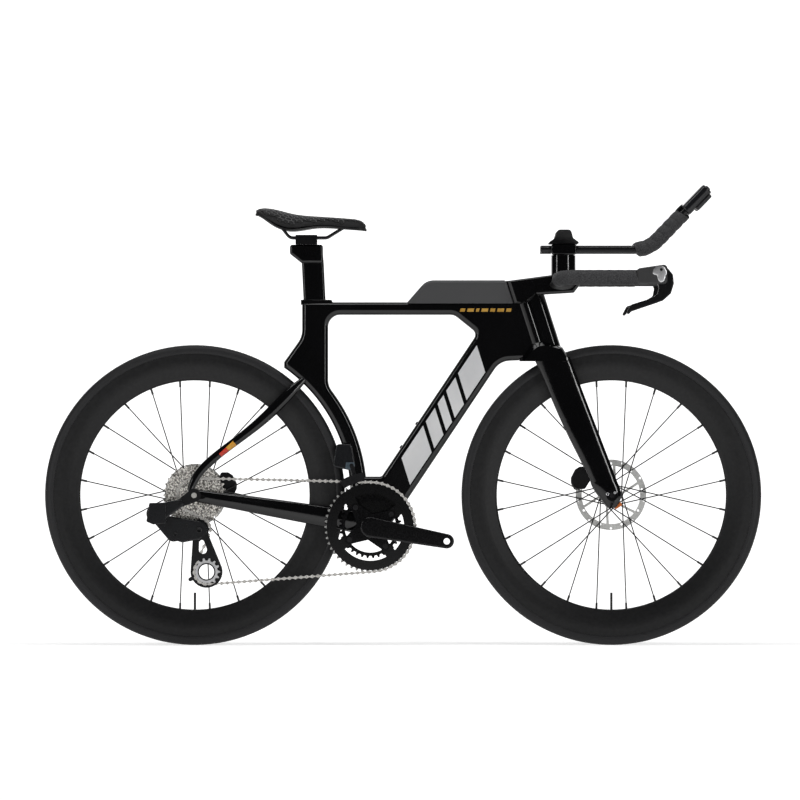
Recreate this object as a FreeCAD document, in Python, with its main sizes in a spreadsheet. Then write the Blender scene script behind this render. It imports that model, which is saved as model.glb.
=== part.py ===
import FreeCAD, Part
import math
import os

import Sketcher
from FreeCAD import Placement, Rotation, Vector

# A time trial bicycle. X runs forward, Y to the rider's left and Z up. The origin lies on the ground,
# midway between the axles. The drive side is at -Y. Lengths are in millimetres, angles in degrees.
SIZES = {
    # layout of the whole bicycle
    "wheel_space": 263.0,
    "tyre_height": 20.3,
    "bracket_ahead": 57.6,
    "bracket_drop": 71.6,
    "head_angle": 72.2,
    "fork_rake": 55.0,
    "crown_gap": 40.0,
    "head_tube_length": 94.0,
    "fit_gap": 0.2,
    "run_gap": 0.4,
    "shaft_gap": 0.08,
    "overrun": 6.0,
    # front triangle
    "frame_width": 38.0,
    "frame_edge_round": 11.0,
    "seat_tube_back": 154.6,
    "seat_tube_depth": 59.4,
    "seat_gusset_radius": 27.0,
    "top_tube_lift": 2.2,
    "top_tube_depth": 29.0,
    "head_top_rise": 5.0,
    "gusset_back": 128.5,
    "gusset_rise": 22.0,
    "gusset_run": 52.0,
    "gusset_radius": 25.0,
    "gusset_nose_radius": 14.0,
    "down_tube_depth": 78.0,
    "down_tube_radius": 42.0,
    "head_bottom_drop": 44.0,
    "ledge_rise": 113.6,
    "ledge_front": 25.1,
    "ledge_radius": 8.0,
    "wheel_gap": 12.0,
    "blade_depth": 38.0,
    "blade_lead": 13.3,
    "blade_radius": 40.0,
    "wheel_cut_low_angle": 10.0,
    "fin_back": 40.7,
    "fin_rise": 13.0,
    "fin_height": 57.0,
    "fin_radius": 50.0,
    "bracket_foot_drop": 26.0,
    "bracket_foot_back": 20.0,
    # head bearings and cones
    "head_radius": 21.6,
    "steerer_radius": 14.3,
    "bearing_radius": 19.0,
    "bearing_height": 7.0,
    "cone_angle": 50.0,
    "cone_reach": 120.0,
    # bottom bracket
    "shell_radius": 26.0,
    "shell_length": 84.0,
    "cup_radius": 20.5,
    "cup_depth": 9.0,
    "cup_lip_radius": 23.0,
    "cup_lip": 1.5,
    "spindle_radius": 12.0,
    # stays
    "dropout_space": 142.0,
    "stay_width": 15.0,
    "chain_stay_rise": 6.0,
    "chain_stay_front_depth": 45.0,
    "chain_stay_rear_depth": 29.0,
    "seat_stay_depth": 20.0,
    "seat_stay_ahead": 46.0,
    "seat_stay_drop": 26.0,
    "seat_stay_end_back": 20.0,
    "seat_stay_end_rise": 14.0,
    "dropout_radius": 15.0,
    # axles
    "axle_radius": 6.0,
    "axle_head_radius": 9.0,
    "axle_head": 5.0,
    "front_space": 100.0,
    # wheels
    "tyre_width": 28.0,
    "tyre_wall": 3.0,
    "rim_radius": 318.7,
    "rim_depth": 60.0,
    "rim_width": 28.6,
    "rim_edge_width": 26.8,
    "rim_nose_width": 13.0,
    "rim_nose_radius": 6.0,
    "rim_flank_radius": 70.0,
    "channel_width": 20.0,
    "channel_depth": 6.6,
    "spoke_radius": 1.0,
    "nipple_radius": 2.1,
    "nipple_length": 12.0,
    "spoke_seat": 23.5,
    "spoke_shift": 1.6,
    "rim_spoke_shift": 1.5,
    "flange_thickness": 5.4,
    "hub_radius": 13.5,
    "hub_end_radius": 10.0,
    "front_right_flange": 33.0,
    "front_left_flange": 23.0,
    "rear_right_flange": 18.0,
    "rear_left_flange": 32.0,
    "rotor_thickness": 1.8,
    "rotor_track": 14.0,
    "rotor_seat_radius": 17.0,
    "rotor_seat": 5.0,
    "rotor_shoulder": 2.5,
    "rotor_arm_width": 6.0,
    "rotor_hole_radius": 2.6,
    "front_rotor_radius": 80.0,
    "front_rotor_place": 39.5,
    "rear_rotor_radius": 70.0,
    "rear_rotor_place": 55.7,
    "lockring_radius": 21.0,
    "lockring_thickness": 2.5,
    "valve_radius": 2.8,
    "valve_length": 38.0,
    # drive
    "chain_pitch": 12.7,
    "tooth_thickness": 1.6,
    "tooth_rise": 2.3,
    "tooth_drop": 3.4,
    "chain_plane": 45.5,
    "ring_spacing": 7.0,
    "ring_body": 3.6,
    "ring_rim": 9.0,
    "large_ring_band": 20.0,
    "small_ring_band": 6.0,
    "bolt_circle": 55.0,
    "bolt_radius": 4.0,
    "bolt_head_radius": 6.0,
    "bolt_head": 2.0,
    "tab_radius": 10.0,
    "spider_thickness": 6.0,
    "spider_radius": 27.0,
    "crank_length": 175.0,
    "crank_drop_angle": 10.5,
    "crank_thickness": 13.0,
    "crank_face": 74.0,
    "crank_root_radius": 23.0,
    "crank_end_radius": 16.5,
    "crank_edge_round": 4.0,
    "pedal_hole_radius": 7.1,
    "sprocket_pitch": 3.55,
    "sprocket_bore": 15.0,
    "sprocket_collar": 17.6,
    "cassette_outer": 66.8,
    "freehub_inner": 25.0,
    "freehub_outer": 70.6,
    "cassette_ring_radius": 16.8,
    # chain
    "plate_height": 8.4,
    "plate_thickness": 0.6,
    "plate_inner_gap": 2.2,
    "plate_gap": 0.1,
    "roller_radius": 3.8,
    # rear derailleur
    "guide_ahead": 11.5,
    "guide_drop": 77.0,
    "tension_ahead": 27.2,
    "tension_drop": 172.7,
    "pulley_wall": 3.0,
    "pulley_bore": 3.0,
    "tension_bore": 20.0,
    "tension_collar": 3.0,
    "pulley_boss": 5.6,
    "cage_plate": 1.6,
    "cage_gap": 6.6,
    "cage_guide_radius": 14.0,
    "cage_tension_radius": 36.0,
    "cage_window_radius": 31.4,
    "cage_pin_radius": 2.2,
    "cage_lug_radius": 4.4,
    "cage_pivot_radius": 5.0,
    "cage_pivot_length": 12.0,
    "hanger_thickness": 5.0,
    "hanger_back": 32.0,
    "hanger_drop": 18.0,
    "hanger_eye_radius": 9.0,
    "motor_back": 85.0,
    "motor_drop": 41.0,
    "motor_radius": 22.0,
    "motor_thickness": 15.0,
    "link_back": 46.0,
    "link_drop": 87.0,
    "link_radius": 17.0,
    "link_thickness": 14.0,
    "knuckle_radius": 20.0,
    "knuckle_thickness": 13.0,
    # front derailleur
    "mech_front": 34.0,
    "mech_back": 86.0,
    "mech_low": 127.0,
    "mech_high": 187.0,
    "mech_inner": 19.0,
    "mech_outer": 44.0,
    "mech_round": 9.0,
    "mech_edge_round": 3.0,
    "mech_cage_gap": 9.6,
    "mech_plate": 1.2,
    "mech_plate_inner": 104.5,
    "mech_plate_outer": 124.0,
    "mech_front_angle": 97.0,
    "mech_rear_angle": 124.0,
    "mech_bridge_angle": 110.0,
    # brake calipers
    "caliper_length": 42.0,
    "caliper_height": 46.0,
    "caliper_half": 13.0,
    "caliper_round": 5.0,
    "caliper_edge_round": 3.0,
    "caliper_slot": 9.0,
    "pad_thickness": 3.0,
    "pad_radius": 9.0,
    "front_caliper_back": 71.0,
    "front_caliper_rise": 41.0,
    "rear_caliper_ahead": 74.0,
    "rear_caliper_rise": 28.0,
    # fork
    "leg_thickness": 17.0,
    "leg_top_drop": 28.0,
    "leg_chord": 80.0,
    "leg_top_spread": 34.0,
    "leg_inset": 1.0,
    "leg_boss_radius": 13.0,
    "crown_width": 86.0,
    "crown_top_width": 44.0,
    "crown_front": 76.0,
    "crown_back": 40.0,
    "crown_low": 42.0,
    "crown_round": 15.0,
    "arch_gap": 6.0,
    "arch_width": 42.0,
    "spar_front": 49.0,
    "spar_width": 36.0,
    "spar_gap": 0.8,
    "spar_top": 13.0,
    "steerer_top": 37.0,
    # stem and base bar
    "stem_width": 50.0,
    "stem_round": 6.0,
    "stem_back": 29.0,
    "stem_top_rise": 61.0,
    "stem_front_reach": 125.0,
    "stem_lip": 5.0,
    "stem_head_rise": 9.5,
    "stem_head_inset": 13.0,
    "bar_half_width": 190.0,
    "bar_reach": 77.0,
    "bar_rise": 56.0,
    "wing_chord": 62.0,
    "wing_thickness": 24.0,
    "wing_drop": 16.0,
    "wing_ahead": 10.0,
    "wing_half_span": 112.0,
    "horn_radius": 12.0,
    "horn_bend": 44.0,
    "horn_length": 194.0,
    "tape_thickness": 4.4,
    # brake levers
    "hood_length": 69.0,
    "hood_height": 45.0,
    "hood_width": 30.0,
    "hood_round": 9.0,
    "hood_rise": 7.0,
    "hood_slope": 10.0,
    "hood_overlap": 22.0,
    "lever_thickness": 12.0,
    "lever_slot_gap": 0.8,
    "lever_back": 16.0,
    "lever_slot_back": 29.0,
    "lever_head": 8.0,
    "lever_reach": 30.0,
    "lever_length": 75.0,
    "lever_tip_drop": 109.0,
    "lever_tip_depth": 9.0,
    "lever_curve": 8.0,
    "lever_edge_round": 2.5,
    "lever_pin_radius": 3.0,
    # riser, extensions and arm rests
    "riser_length": 55.0,
    "riser_width": 40.0,
    "riser_height": 55.0,
    "riser_ahead": 11.6,
    "clamp_height": 25.0,
    "clamp_length": 58.0,
    "clamp_wall": 7.0,
    "extension_radius": 9.0,
    "extension_spread": 100.0,
    "extension_back": 52.0,
    "extension_corner": 191.0,
    "extension_bend": 75.0,
    "extension_rise_angle": 46.0,
    "extension_slope": 120.0,
    "extension_tape_start": 209.0,
    "extension_tape_radius": 16.8,
    "cup_length": 66.0,
    "cup_wall": 4.0,
    "cup_rise": 31.5,
    "cup_radius_arc": 48.0,
    "cup_place": 62.0,
    "arm_pad_thickness": 13.0,
    "arm_pad_margin": 5.0,
    # shifters
    "shifter_radius": 13.0,
    "shifter_length": 72.0,
    "shifter_overlap": 14.0,
    "shifter_round": 4.0,
    "shifter_lobe_radius": 8.0,
    "shifter_lobe_drop": 12.5,
    "shifter_lobe_length": 46.0,
    "shifter_lobe_inset": 6.0,
    "button_radius": 6.5,
    "button_height": 5.0,
    "button_round": 1.5,
    "button_well": 4.0,
    "button_travel": 1.5,
    # seat post
    "post_depth": 50.0,
    "post_width": 25.0,
    "post_nose_radius": 11.0,
    "post_tail_radius": 6.0,
    "post_lean_angle": 2.7,
    "post_inset": 3.5,
    "post_rise": 94.0,
    "post_insert": 100.0,
    "post_spare": 8.0,
    "post_head_length": 75.0,
    "post_head_height": 42.0,
    "post_head_width": 30.0,
    "post_head_back": 14.0,
    "wedge_length": 75.0,
    "wedge_height": 5.4,
    "wedge_round": 1.5,
    # saddle
    "rail_radius": 3.5,
    "rail_rise": 51.4,
    "rail_spread": 44.0,
    "rail_nose_spread": 26.0,
    "rail_bend": 16.0,
    "rail_flat_back": 37.6,
    "rail_flat_front": 46.4,
    "rail_back": 64.6,
    "rail_front": 90.4,
    "rail_end_rise": 27.0,
    "rail_rear_rise": 34.0,
    "saddle_clamp_length": 49.0,
    "saddle_clamp_width": 58.0,
    "saddle_clamp_high": 3.0,
    "saddle_bolt_radius": 4.0,
    "saddle_tail": 117.1,
    "saddle_length": 251.0,
    "saddle_width": 140.0,
    "saddle_base": 22.0,
    "saddle_drop": 44.0,
    "saddle_pad_edge": 6.0,
    "saddle_shell_thickness": 4.0,
    # storage box
    "box_back": 80.6,
    "box_front": 21.5,
    "box_height": 49.5,
    "box_width": 40.0,
    "box_sink": 3.0,
    "box_round": 9.0,
    "box_rear_slope": 46.0,
    "box_rear_radius": 36.0,
    "box_front_slope": 17.0,
}

# Counts, tooth numbers and shares.
SPOKE_COUNT = 24
LARGE_RING_TEETH = 50
SMALL_RING_TEETH = 34
SPROCKET_TEETH = (11, 12, 13, 14, 15, 17, 19, 21, 24, 27, 30, 34)
CHAIN_SPROCKET_TEETH = 19
GUIDE_TEETH = 12
TENSION_TEETH = 14
SPIDER_ANGLES = (42, 138, 222, 318)
ROTOR_ARMS = 6
ROTOR_HOLES = 18
HALF_SHARE = 0.5
FULL_TURN = 360


class Size(float):
    """A number from the sheet that remembers its expression."""

    def __new__(cls, value, text):
        size = super().__new__(cls, value)
        size.text = text
        return size

    def __add__(self, other):
        return Size(float(self) + float(other), f"({self.text} + {text_of(other)})")

    __radd__ = __add__

    def __sub__(self, other):
        return Size(float(self) - float(other), f"({self.text} - {text_of(other)})")

    def __rsub__(self, other):
        return Size(float(other) - float(self), f"({text_of(other)} - {self.text})")

    def __mul__(self, other):
        return Size(float(self) * float(other), f"({self.text} * {text_of(other)})")

    __rmul__ = __mul__

    def __truediv__(self, other):
        return Size(float(self) / float(other), f"({self.text} / {text_of(other)})")

    def __neg__(self):
        return Size(-float(self), f"(-{self.text})")


def text_of(value):
    return value.text if isinstance(value, Size) else repr(float(value))


doc = FreeCAD.newDocument("time_trial_bike")
sheet = doc.addObject("Spreadsheet::Sheet", "Sizes")
for row, (alias, number) in enumerate(SIZES.items(), start=1):
    sheet.set(f"A{row}", alias)
    sheet.set(f"B{row}", str(number))
    sheet.setAlias(f"B{row}", alias)
doc.recompute()


class SheetSizes:
    """Each alias of the sheet as a Size."""

    def __getattr__(self, alias):
        return Size(float(sheet.get(alias)), f"Sizes.{alias}")


S = SheetSizes()
SUB_PARTS = []


# Building helpers

def keep(item):
    """Adds a finished object to the list of sub-parts."""
    SUB_PARTS.append(item)
    return item


def bind(item, **values):
    """Sets properties, as expressions where the value comes from the sheet."""
    for name, value in values.items():
        setattr(item, name, float(value))
        if isinstance(value, Size):
            item.setExpression(name, value.text)


def place(item, at, rotation=Rotation()):
    item.Placement = Placement(Vector(*[float(value) for value in at]), rotation)
    for letter, value in zip("xyz", at):
        if isinstance(value, Size):
            item.setExpression(f"Placement.Base.{letter}", value.text)
    return item


def feature(name, shape):
    item = doc.addObject("Part::Feature", name)
    item.Label = name
    item.Shape = shape
    return item


def group(name, shapes):
    return keep(feature(name, Part.makeCompound(list(shapes))))


TO_Y = Rotation(Vector(0, 0, 1), Vector(0, 1, 0))


def rod(name, radius, length, at, rotation=TO_Y):
    """A bound cylinder that runs along +Y from a point."""
    item = doc.addObject("Part::Cylinder", name)
    item.Label = name
    bind(item, Radius=radius, Height=length)
    return place(item, at, rotation)


def boolean(kind, name, base, tool):
    item = doc.addObject(kind, name)
    item.Label = name
    item.Base = base
    item.Tool = tool
    return item


def rounded(corners, closed=True):
    """A wire of straight runs and tangent arcs through corners, each a point and a radius."""
    count = len(corners)
    points = [corner[0] for corner in corners]
    ends = [] if closed else [0, count - 1]
    back = []
    ahead = []
    trims = []
    for index, (point, radius) in enumerate(corners):
        back.append(points[index - 1] - point)
        ahead.append(points[(index + 1) % count] - point)
        angle = back[index].getAngle(ahead[index])
        trims.append(0 if index in ends else float(radius) / math.tan(angle / 2))
    for index in range(count if closed else count - 1):
        other = (index + 1) % count
        total = trims[index] + trims[other]
        if total > ahead[index].Length:
            trims[index] *= ahead[index].Length / total
            trims[other] *= ahead[index].Length / total
    edges = []
    tiny = min(side.Length for side in ahead) * TINY_SHARE
    for index in range(count):
        other = (index + 1) % count
        toward = Vector(ahead[index]).normalize()
        if trims[index] > tiny:
            edges.append(corner_arc(points[index], back[index], ahead[index], trims[index]))
        if other == 0 and not closed:
            break
        start = points[index] + toward * trims[index]
        end = points[other] - toward * trims[other]
        if (end - start).Length > tiny:
            edges.append(Part.LineSegment(start, end).toShape())
    return Part.Wire(edges)


TINY_SHARE = 0.001


def corner_arc(point, back, ahead, trim):
    """The arc that is tangent to both sides of a corner, a trim away from it."""
    backward = Vector(back).normalize()
    forward = Vector(ahead).normalize()
    half = backward.getAngle(forward) / 2
    radius = trim * math.tan(half)
    middle = point + (backward + forward).normalize() * (radius / math.sin(half) - radius)
    return Part.Arc(point + backward * trim, middle, point + forward * trim).toShape()


def side_outline(corners, y=0):
    """A rounded outline in a plane across Y; corners are x, z and an optional radius."""
    return rounded([(Vector(x, y, z), radius[0] if radius else 0) for x, z, *radius in corners])


def slab(wire, width):
    """Extrudes an outline along +Y."""
    return Part.Face(wire).extrude(Vector(0, width, 0))


def turned(name, corners, at):
    """Turns an outline of radius, place along Y and corner radius about Y."""
    wire = rounded([(Vector(radius, y, 0), curve[0] if curve else 0) for radius, y, *curve in corners])
    outline = feature(name + "_outline", wire)
    item = doc.addObject("Part::Revolution", name)
    item.Label = name
    item.Source = outline
    item.Axis = Vector(0, 1, 0)
    item.Angle = FULL_TURN
    item.Solid = True
    return place(item, at)


def turned_body(name, corners, at):
    """A PartDesign body turned about Y from a sketch whose corners are bound to the sheet."""
    body = doc.addObject("PartDesign::Body", name)
    body.Label = name
    sketch = body.newObject("Sketcher::SketchObject", name + "_profile")
    flat = [item for item in body.Origin.OriginFeatures if item.Role == "XY_Plane"][0]
    sketch.AttachmentSupport = [(flat, "")]
    sketch.MapMode = "FlatFace"
    points = [Vector(float(radius), float(y), 0) for radius, y in corners]
    count = len(points)
    for index in range(count):
        sketch.addGeometry(Part.LineSegment(points[index], points[(index + 1) % count]))
    for index in range(count):
        sketch.addConstraint(Sketcher.Constraint("Coincident", index, 2, (index + 1) % count, 1))
    for index, (radius, y) in enumerate(corners):
        for kind, value in (("DistanceX", radius), ("DistanceY", y)):
            number = sketch.addConstraint(Sketcher.Constraint(kind, -1, 1, index, 1, float(value)))
            sketch.setExpression(f"Constraints[{number}]", text_of(value))
    turn = body.newObject("PartDesign::Revolution", name + "_turn")
    turn.Profile = sketch
    turn.ReferenceAxis = (sketch, ["V_Axis"])
    turn.Angle = FULL_TURN
    return place(body, at)


def mirrored(shape):
    return shape.mirror(Vector(0, 0, 0), Vector(0, 1, 0))


def pair(shape):
    """A shape on the drive side with its mirror image."""
    return [shape, mirrored(shape)]


def cylinder(radius, start, along):
    return Part.makeCylinder(float(radius), along.Length, start, along)


def ellipse(middle, across, up):
    """An elliptic outline; across and up are half axes as vectors."""
    longer, shorter = (across, up) if across.Length > up.Length else (up, across * -1)
    return Part.Wire([Part.Ellipse(middle + longer, middle + shorter, middle).toShape()])


def loft(wires, ruled=False):
    return Part.makeLoft(wires, True, ruled)


def pipe(path, radius):
    """A round bar along a path of straight runs and arcs."""
    first = path.OrderedEdges[0] if hasattr(path, "OrderedEdges") else path.Edges[0]
    start = first.valueAt(first.FirstParameter)
    toward = first.tangentAt(first.FirstParameter)
    ring = Part.Wire([Part.Circle(start, toward, float(radius)).toShape()])
    return path.makePipeShell([ring], True, False)


def round_edges(shape, radius, edges):
    return shape.makeFillet(float(radius), edges)


def edges_across(shape, y):
    """The edges of a slab that lie in one plane across Y."""
    near = float(S.fit_gap)
    return [edge for edge in shape.Edges
            if abs(edge.BoundBox.YMin - y) < near and abs(edge.BoundBox.YMax - y) < near]


def soft_slab(corners, y_low, width, edge_round):
    """A plate whose outer and inner faces have rounded edges."""
    plate = slab(side_outline(corners, y_low), width)
    return round_edges(plate, edge_round, edges_across(plate, y_low) + edges_across(plate, y_low + width))


def link_outline(start, start_radius, end, end_radius, y):
    """The outline round two discs, given by x and z, in a plane across Y."""
    first = Vector(start[0], y, start[1])
    last = Vector(end[0], y, end[1])
    along = (last - first)
    turn = math.acos((float(start_radius) - float(end_radius)) / along.Length)
    heading = math.atan2(along.z, along.x)

    def on(middle, radius, angle):
        return middle + Vector(math.cos(angle), 0, math.sin(angle)) * float(radius)

    near = [on(first, start_radius, heading + turn), on(first, start_radius, heading + math.pi),
            on(first, start_radius, heading - turn)]
    far = [on(last, end_radius, heading - turn), on(last, end_radius, heading),
           on(last, end_radius, heading + turn)]
    return Part.Wire([Part.Arc(*near).toShape(), Part.LineSegment(near[2], far[0]).toShape(),
                      Part.Arc(*far).toShape(), Part.LineSegment(far[2], near[0]).toShape()])


def polar(middle, radius, angle):
    """A point x, z at an angle in degrees about a middle x, z."""
    turn = math.radians(float(angle))
    return (middle[0] + math.cos(turn) * float(radius), middle[1] + math.sin(turn) * float(radius))


# Places that many pieces share

TYRE_RADIUS = S.rim_radius + S.tyre_height
WHEELBASE = TYRE_RADIUS * 2 + S.wheel_space
REAR_X = -WHEELBASE / 2
FRONT_X = WHEELBASE / 2
AXLE_Z = TYRE_RADIUS
BRACKET_X = REAR_X + TYRE_RADIUS + S.bracket_ahead
BRACKET_Z = TYRE_RADIUS - S.bracket_drop
REAR = (float(REAR_X), float(AXLE_Z))
FRONT = (float(FRONT_X), float(AXLE_Z))
BRACKET = (float(BRACKET_X), float(BRACKET_Z))
LEAN = math.radians(90 - S.head_angle)
STEER_UP = Vector(-math.sin(LEAN), 0, math.cos(LEAN))
STEER_AHEAD = Vector(math.cos(LEAN), 0, math.sin(LEAN))
STEER_FOOT = Vector(FRONT[0], 0, FRONT[1]) - STEER_AHEAD * S.fork_rake
HEAD_LOW = TYRE_RADIUS + S.crown_gap
HEAD_HIGH = HEAD_LOW + S.head_tube_length


def on_steering(height, ahead=0):
    """A point by its height along the steering axis and its distance ahead of it."""
    return STEER_FOOT + STEER_UP * float(height) + STEER_AHEAD * float(ahead)


def steering_cone(seat_height, rise, clearance):
    """Everything beyond a bearing seat: a flat disc that opens into a cone about the steering axis."""
    radius = S.head_radius + clearance
    slope = (S.cone_reach - radius) / math.tan(math.radians(S.cone_angle))
    points = [on_steering(seat_height), on_steering(seat_height, radius),
              on_steering(seat_height + rise * slope, S.cone_reach),
              on_steering(seat_height + rise * (slope + S.cone_reach), S.cone_reach),
              on_steering(seat_height + rise * (slope + S.cone_reach))]
    return Part.Face(Part.makePolygon(points + points[:1])).revolve(STEER_FOOT, STEER_UP, FULL_TURN)


# Frame

TOP_Z = on_steering(HEAD_HIGH).z + float(S.top_tube_lift)
SEAT_REAR = float(BRACKET_X - S.seat_tube_back)
SEAT_FRONT = float(BRACKET_X - S.seat_tube_back + S.seat_tube_depth)
POST_LEAN = math.radians(S.post_lean_angle)
POST_UP = Vector(-math.sin(POST_LEAN), 0, math.cos(POST_LEAN))
POST_AHEAD = Vector(math.cos(POST_LEAN), 0, math.sin(POST_LEAN))
POST_FOOT = Vector(SEAT_REAR + S.post_inset + S.post_depth / 2, 0, TOP_Z)
POST_TOP = POST_FOOT + POST_UP * float(S.post_rise)
SADDLE_X = POST_TOP.x - float(S.post_head_back)
RAIL_Z = POST_TOP.z + float(S.rail_rise)


def post_section(grow, at):
    """The aero outline of the seat post, square to its axis: round nose, flatter tail."""
    half = float(S.post_depth / 2) + grow
    side = float(S.post_width / 2) + grow
    tail_share = 0.55
    corners = [(half, side * tail_share, S.post_nose_radius * tail_share), (0, side, S.post_depth),
               (-half, side * tail_share, S.post_tail_radius), (-half, -side * tail_share, S.post_tail_radius),
               (0, -side, S.post_depth), (half, -side * tail_share, S.post_nose_radius * tail_share)]
    return rounded([(at + POST_AHEAD * ahead + Vector(0, y, 0), radius) for ahead, y, radius in corners])


def tangent_corner(middle, radius, low, high):
    """The corner whose rounding is the arc about a middle from one angle to another."""
    half = (float(high) - float(low)) / 2
    return polar(middle, float(radius) / math.cos(math.radians(half)), float(low) + half)


def fin_corner():
    """The lower corner of the fin behind the seat tube, and its angle about the rear axle."""
    cut = float(TYRE_RADIUS + S.wheel_gap)
    angle = math.degrees(math.acos((SEAT_REAR - float(S.fin_back) - REAR[0]) / cut))
    return polar(REAR, cut, angle), angle


def frame_outlines():
    """The outer edge of the front triangle and the opening inside it."""
    gusset = on_steering(HEAD_LOW + S.gusset_rise) - Vector(S.gusset_back, 0, 0)
    ledge_z = float(BRACKET_Z + S.ledge_rise)
    ledge = Vector(BRACKET[0] + S.ledge_front, 0, ledge_z)
    along = (gusset - ledge).normalize()
    across = Vector(along.z, 0, -along.x)
    low = ledge + across * S.down_tube_depth
    head_low = on_steering(HEAD_LOW - S.head_bottom_drop)
    bend = low + along * ((head_low.z - low.z) / along.z)
    foot = low + along * ((Vector(BRACKET[0], 0, BRACKET[1]) - low).dot(along))
    head_top = on_steering(HEAD_HIGH + S.head_top_rise, S.steerer_radius)
    head_front = on_steering(HEAD_LOW - S.head_bottom_drop, S.steerer_radius)
    cut = TYRE_RADIUS + S.wheel_gap
    wheel_low = polar(REAR, cut, -S.wheel_cut_low_angle)
    fin_tip, fin_angle = fin_corner()
    wheel_corner = tangent_corner(REAR, cut, -S.wheel_cut_low_angle, fin_angle)
    fin_foot = fin_tip[1] + S.fin_rise
    outer = [(SEAT_REAR, TOP_Z), (gusset.x - S.gusset_run, TOP_Z), (head_top.x, head_top.z),
             (head_front.x, head_front.z), (bend.x, bend.z, S.down_tube_radius),
             (foot.x, foot.z), (BRACKET[0] - S.bracket_foot_back, BRACKET[1] - S.bracket_foot_drop),
             wheel_low, (*wheel_corner, cut), fin_tip, (fin_tip[0], fin_foot),
             (SEAT_REAR, fin_foot + S.fin_height, S.fin_radius)]
    blade = cut + S.blade_depth
    ledge_angle = math.degrees(math.asin((ledge_z - REAR[1]) / blade))
    blade_low = polar(REAR, blade, ledge_angle)
    blade_angle = math.degrees(math.acos((SEAT_FRONT + float(S.blade_lead) - REAR[0]) / blade))
    blade_corner = tangent_corner(REAR, blade, ledge_angle, blade_angle)
    blade_high = polar(REAR, blade, blade_angle)
    bend_high = blade_high[1] + S.blade_lead / math.tan(math.radians(blade_angle))
    under = TOP_Z - S.top_tube_depth
    inner = [(SEAT_FRONT, under, S.seat_gusset_radius), (gusset.x - S.gusset_run, under, S.gusset_radius),
             (gusset.x, gusset.z, S.gusset_nose_radius), (ledge.x, ledge.z, S.ledge_radius), blade_low,
             (*blade_corner, blade), (SEAT_FRONT, bend_high, S.blade_radius)]
    return outer, inner


def frame_main():
    """The moulded front triangle: a rounded blade with bores for the head, the bottom bracket and the post."""
    outer, inner = frame_outlines()
    half = S.frame_width / 2
    blade = slab(side_outline(outer, -half), S.frame_width)
    blade = blade.cut(slab(side_outline(inner, -half - S.overrun), S.frame_width + S.overrun * 2))
    edge_round = min(S.frame_edge_round, S.top_tube_depth * EDGE_LIMIT_SHARE)
    blade = round_edges(blade, edge_round, edges_across(blade, -half) + edges_across(blade, half))
    head = cylinder(S.head_radius, on_steering(HEAD_LOW - S.head_bottom_drop),
                    STEER_UP * float(S.head_tube_length + S.head_bottom_drop * 2))
    shell = cylinder(S.shell_radius, Vector(BRACKET[0], -S.shell_length / 2, BRACKET[1]),
                     Vector(0, S.shell_length, 0))
    solid = blade.fuse([head, shell])
    cup_hole = cylinder(S.cup_radius + S.fit_gap, Vector(BRACKET[0], -S.shell_length, BRACKET[1]),
                        Vector(0, S.shell_length * 2, 0))
    steerer_hole = cylinder(S.steerer_radius + S.run_gap, on_steering(HEAD_LOW - S.overrun),
                            STEER_UP * float(S.head_tube_length + S.overrun * 2))
    seats = [cylinder(S.bearing_radius + S.fit_gap, on_steering(height), STEER_UP * float(S.bearing_height))
             for height in (HEAD_LOW, HEAD_HIGH - S.bearing_height)]
    cones = [steering_cone(HEAD_LOW, -1, 0), steering_cone(HEAD_HIGH, 1, 0)]
    sleeve = Part.Face(post_section(float(S.run_gap), POST_FOOT + POST_UP * float(S.overrun)))
    sleeve = sleeve.extrude(POST_UP * -float(S.overrun + S.post_insert + S.post_spare))
    solid = solid.cut([cup_hole, steerer_hole, sleeve] + seats + cones)
    return keep(feature("frame_main", solid.removeSplitter()))


EDGE_LIMIT_SHARE = 0.42


# Share of the way to the rear axle, share of the spread and share of the change of depth, for each section.
CHAIN_STAY_SHARES = ((0.06, 0.0, 0.0), (0.32, 0.03, 0.0), (0.57, 0.35, 0.35), (0.935, 1.0, 1.0),
                     (1.02, 1.0, 1.1))
SEAT_STAY_SHARES = ((0.0, 0.6), (0.07, 1.0), (0.5, 1.0), (0.93, 0.95))


def dropout_spread():
    return float(S.dropout_space / 2 + S.stay_width / 2 + S.run_gap)


def chain_stay():
    """One chain stay with its dropout, on the drive side."""
    root = S.shell_radius + S.overrun * ROOT_SHARE
    sections = []
    for along, spread, change in CHAIN_STAY_SHARES:
        x = BRACKET[0] + (REAR[0] - BRACKET[0]) * along
        low = BRACKET[1] + S.chain_stay_rise
        z = low + (REAR[1] - low) * along
        y = -(root + (dropout_spread() - root) * spread)
        depth = S.chain_stay_front_depth + (S.chain_stay_rear_depth - S.chain_stay_front_depth) * change
        sections.append(ellipse(Vector(x, y, z), Vector(0, S.stay_width / 2, 0), Vector(0, 0, depth / 2)))
    boss = cylinder(S.dropout_radius, Vector(REAR[0], -dropout_spread() - S.stay_width / 2, REAR[1]),
                    Vector(0, S.stay_width, 0))
    hole = cylinder(S.axle_radius + S.fit_gap, Vector(REAR[0], -S.dropout_space, REAR[1]),
                    Vector(0, S.dropout_space, 0))
    return loft(sections).fuse(boss).cut([hole, beyond_dropout()])


ROOT_SHARE = 0.2


def beyond_dropout():
    """The space outside the right dropout's outer face, where the hanger sits."""
    face = -dropout_spread() - float(S.stay_width / 2)
    room = float(S.dropout_space)
    return Part.makeBox(room, room, room, Vector(REAR[0] - room / 2, face - room, REAR[1] - room / 2))


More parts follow.
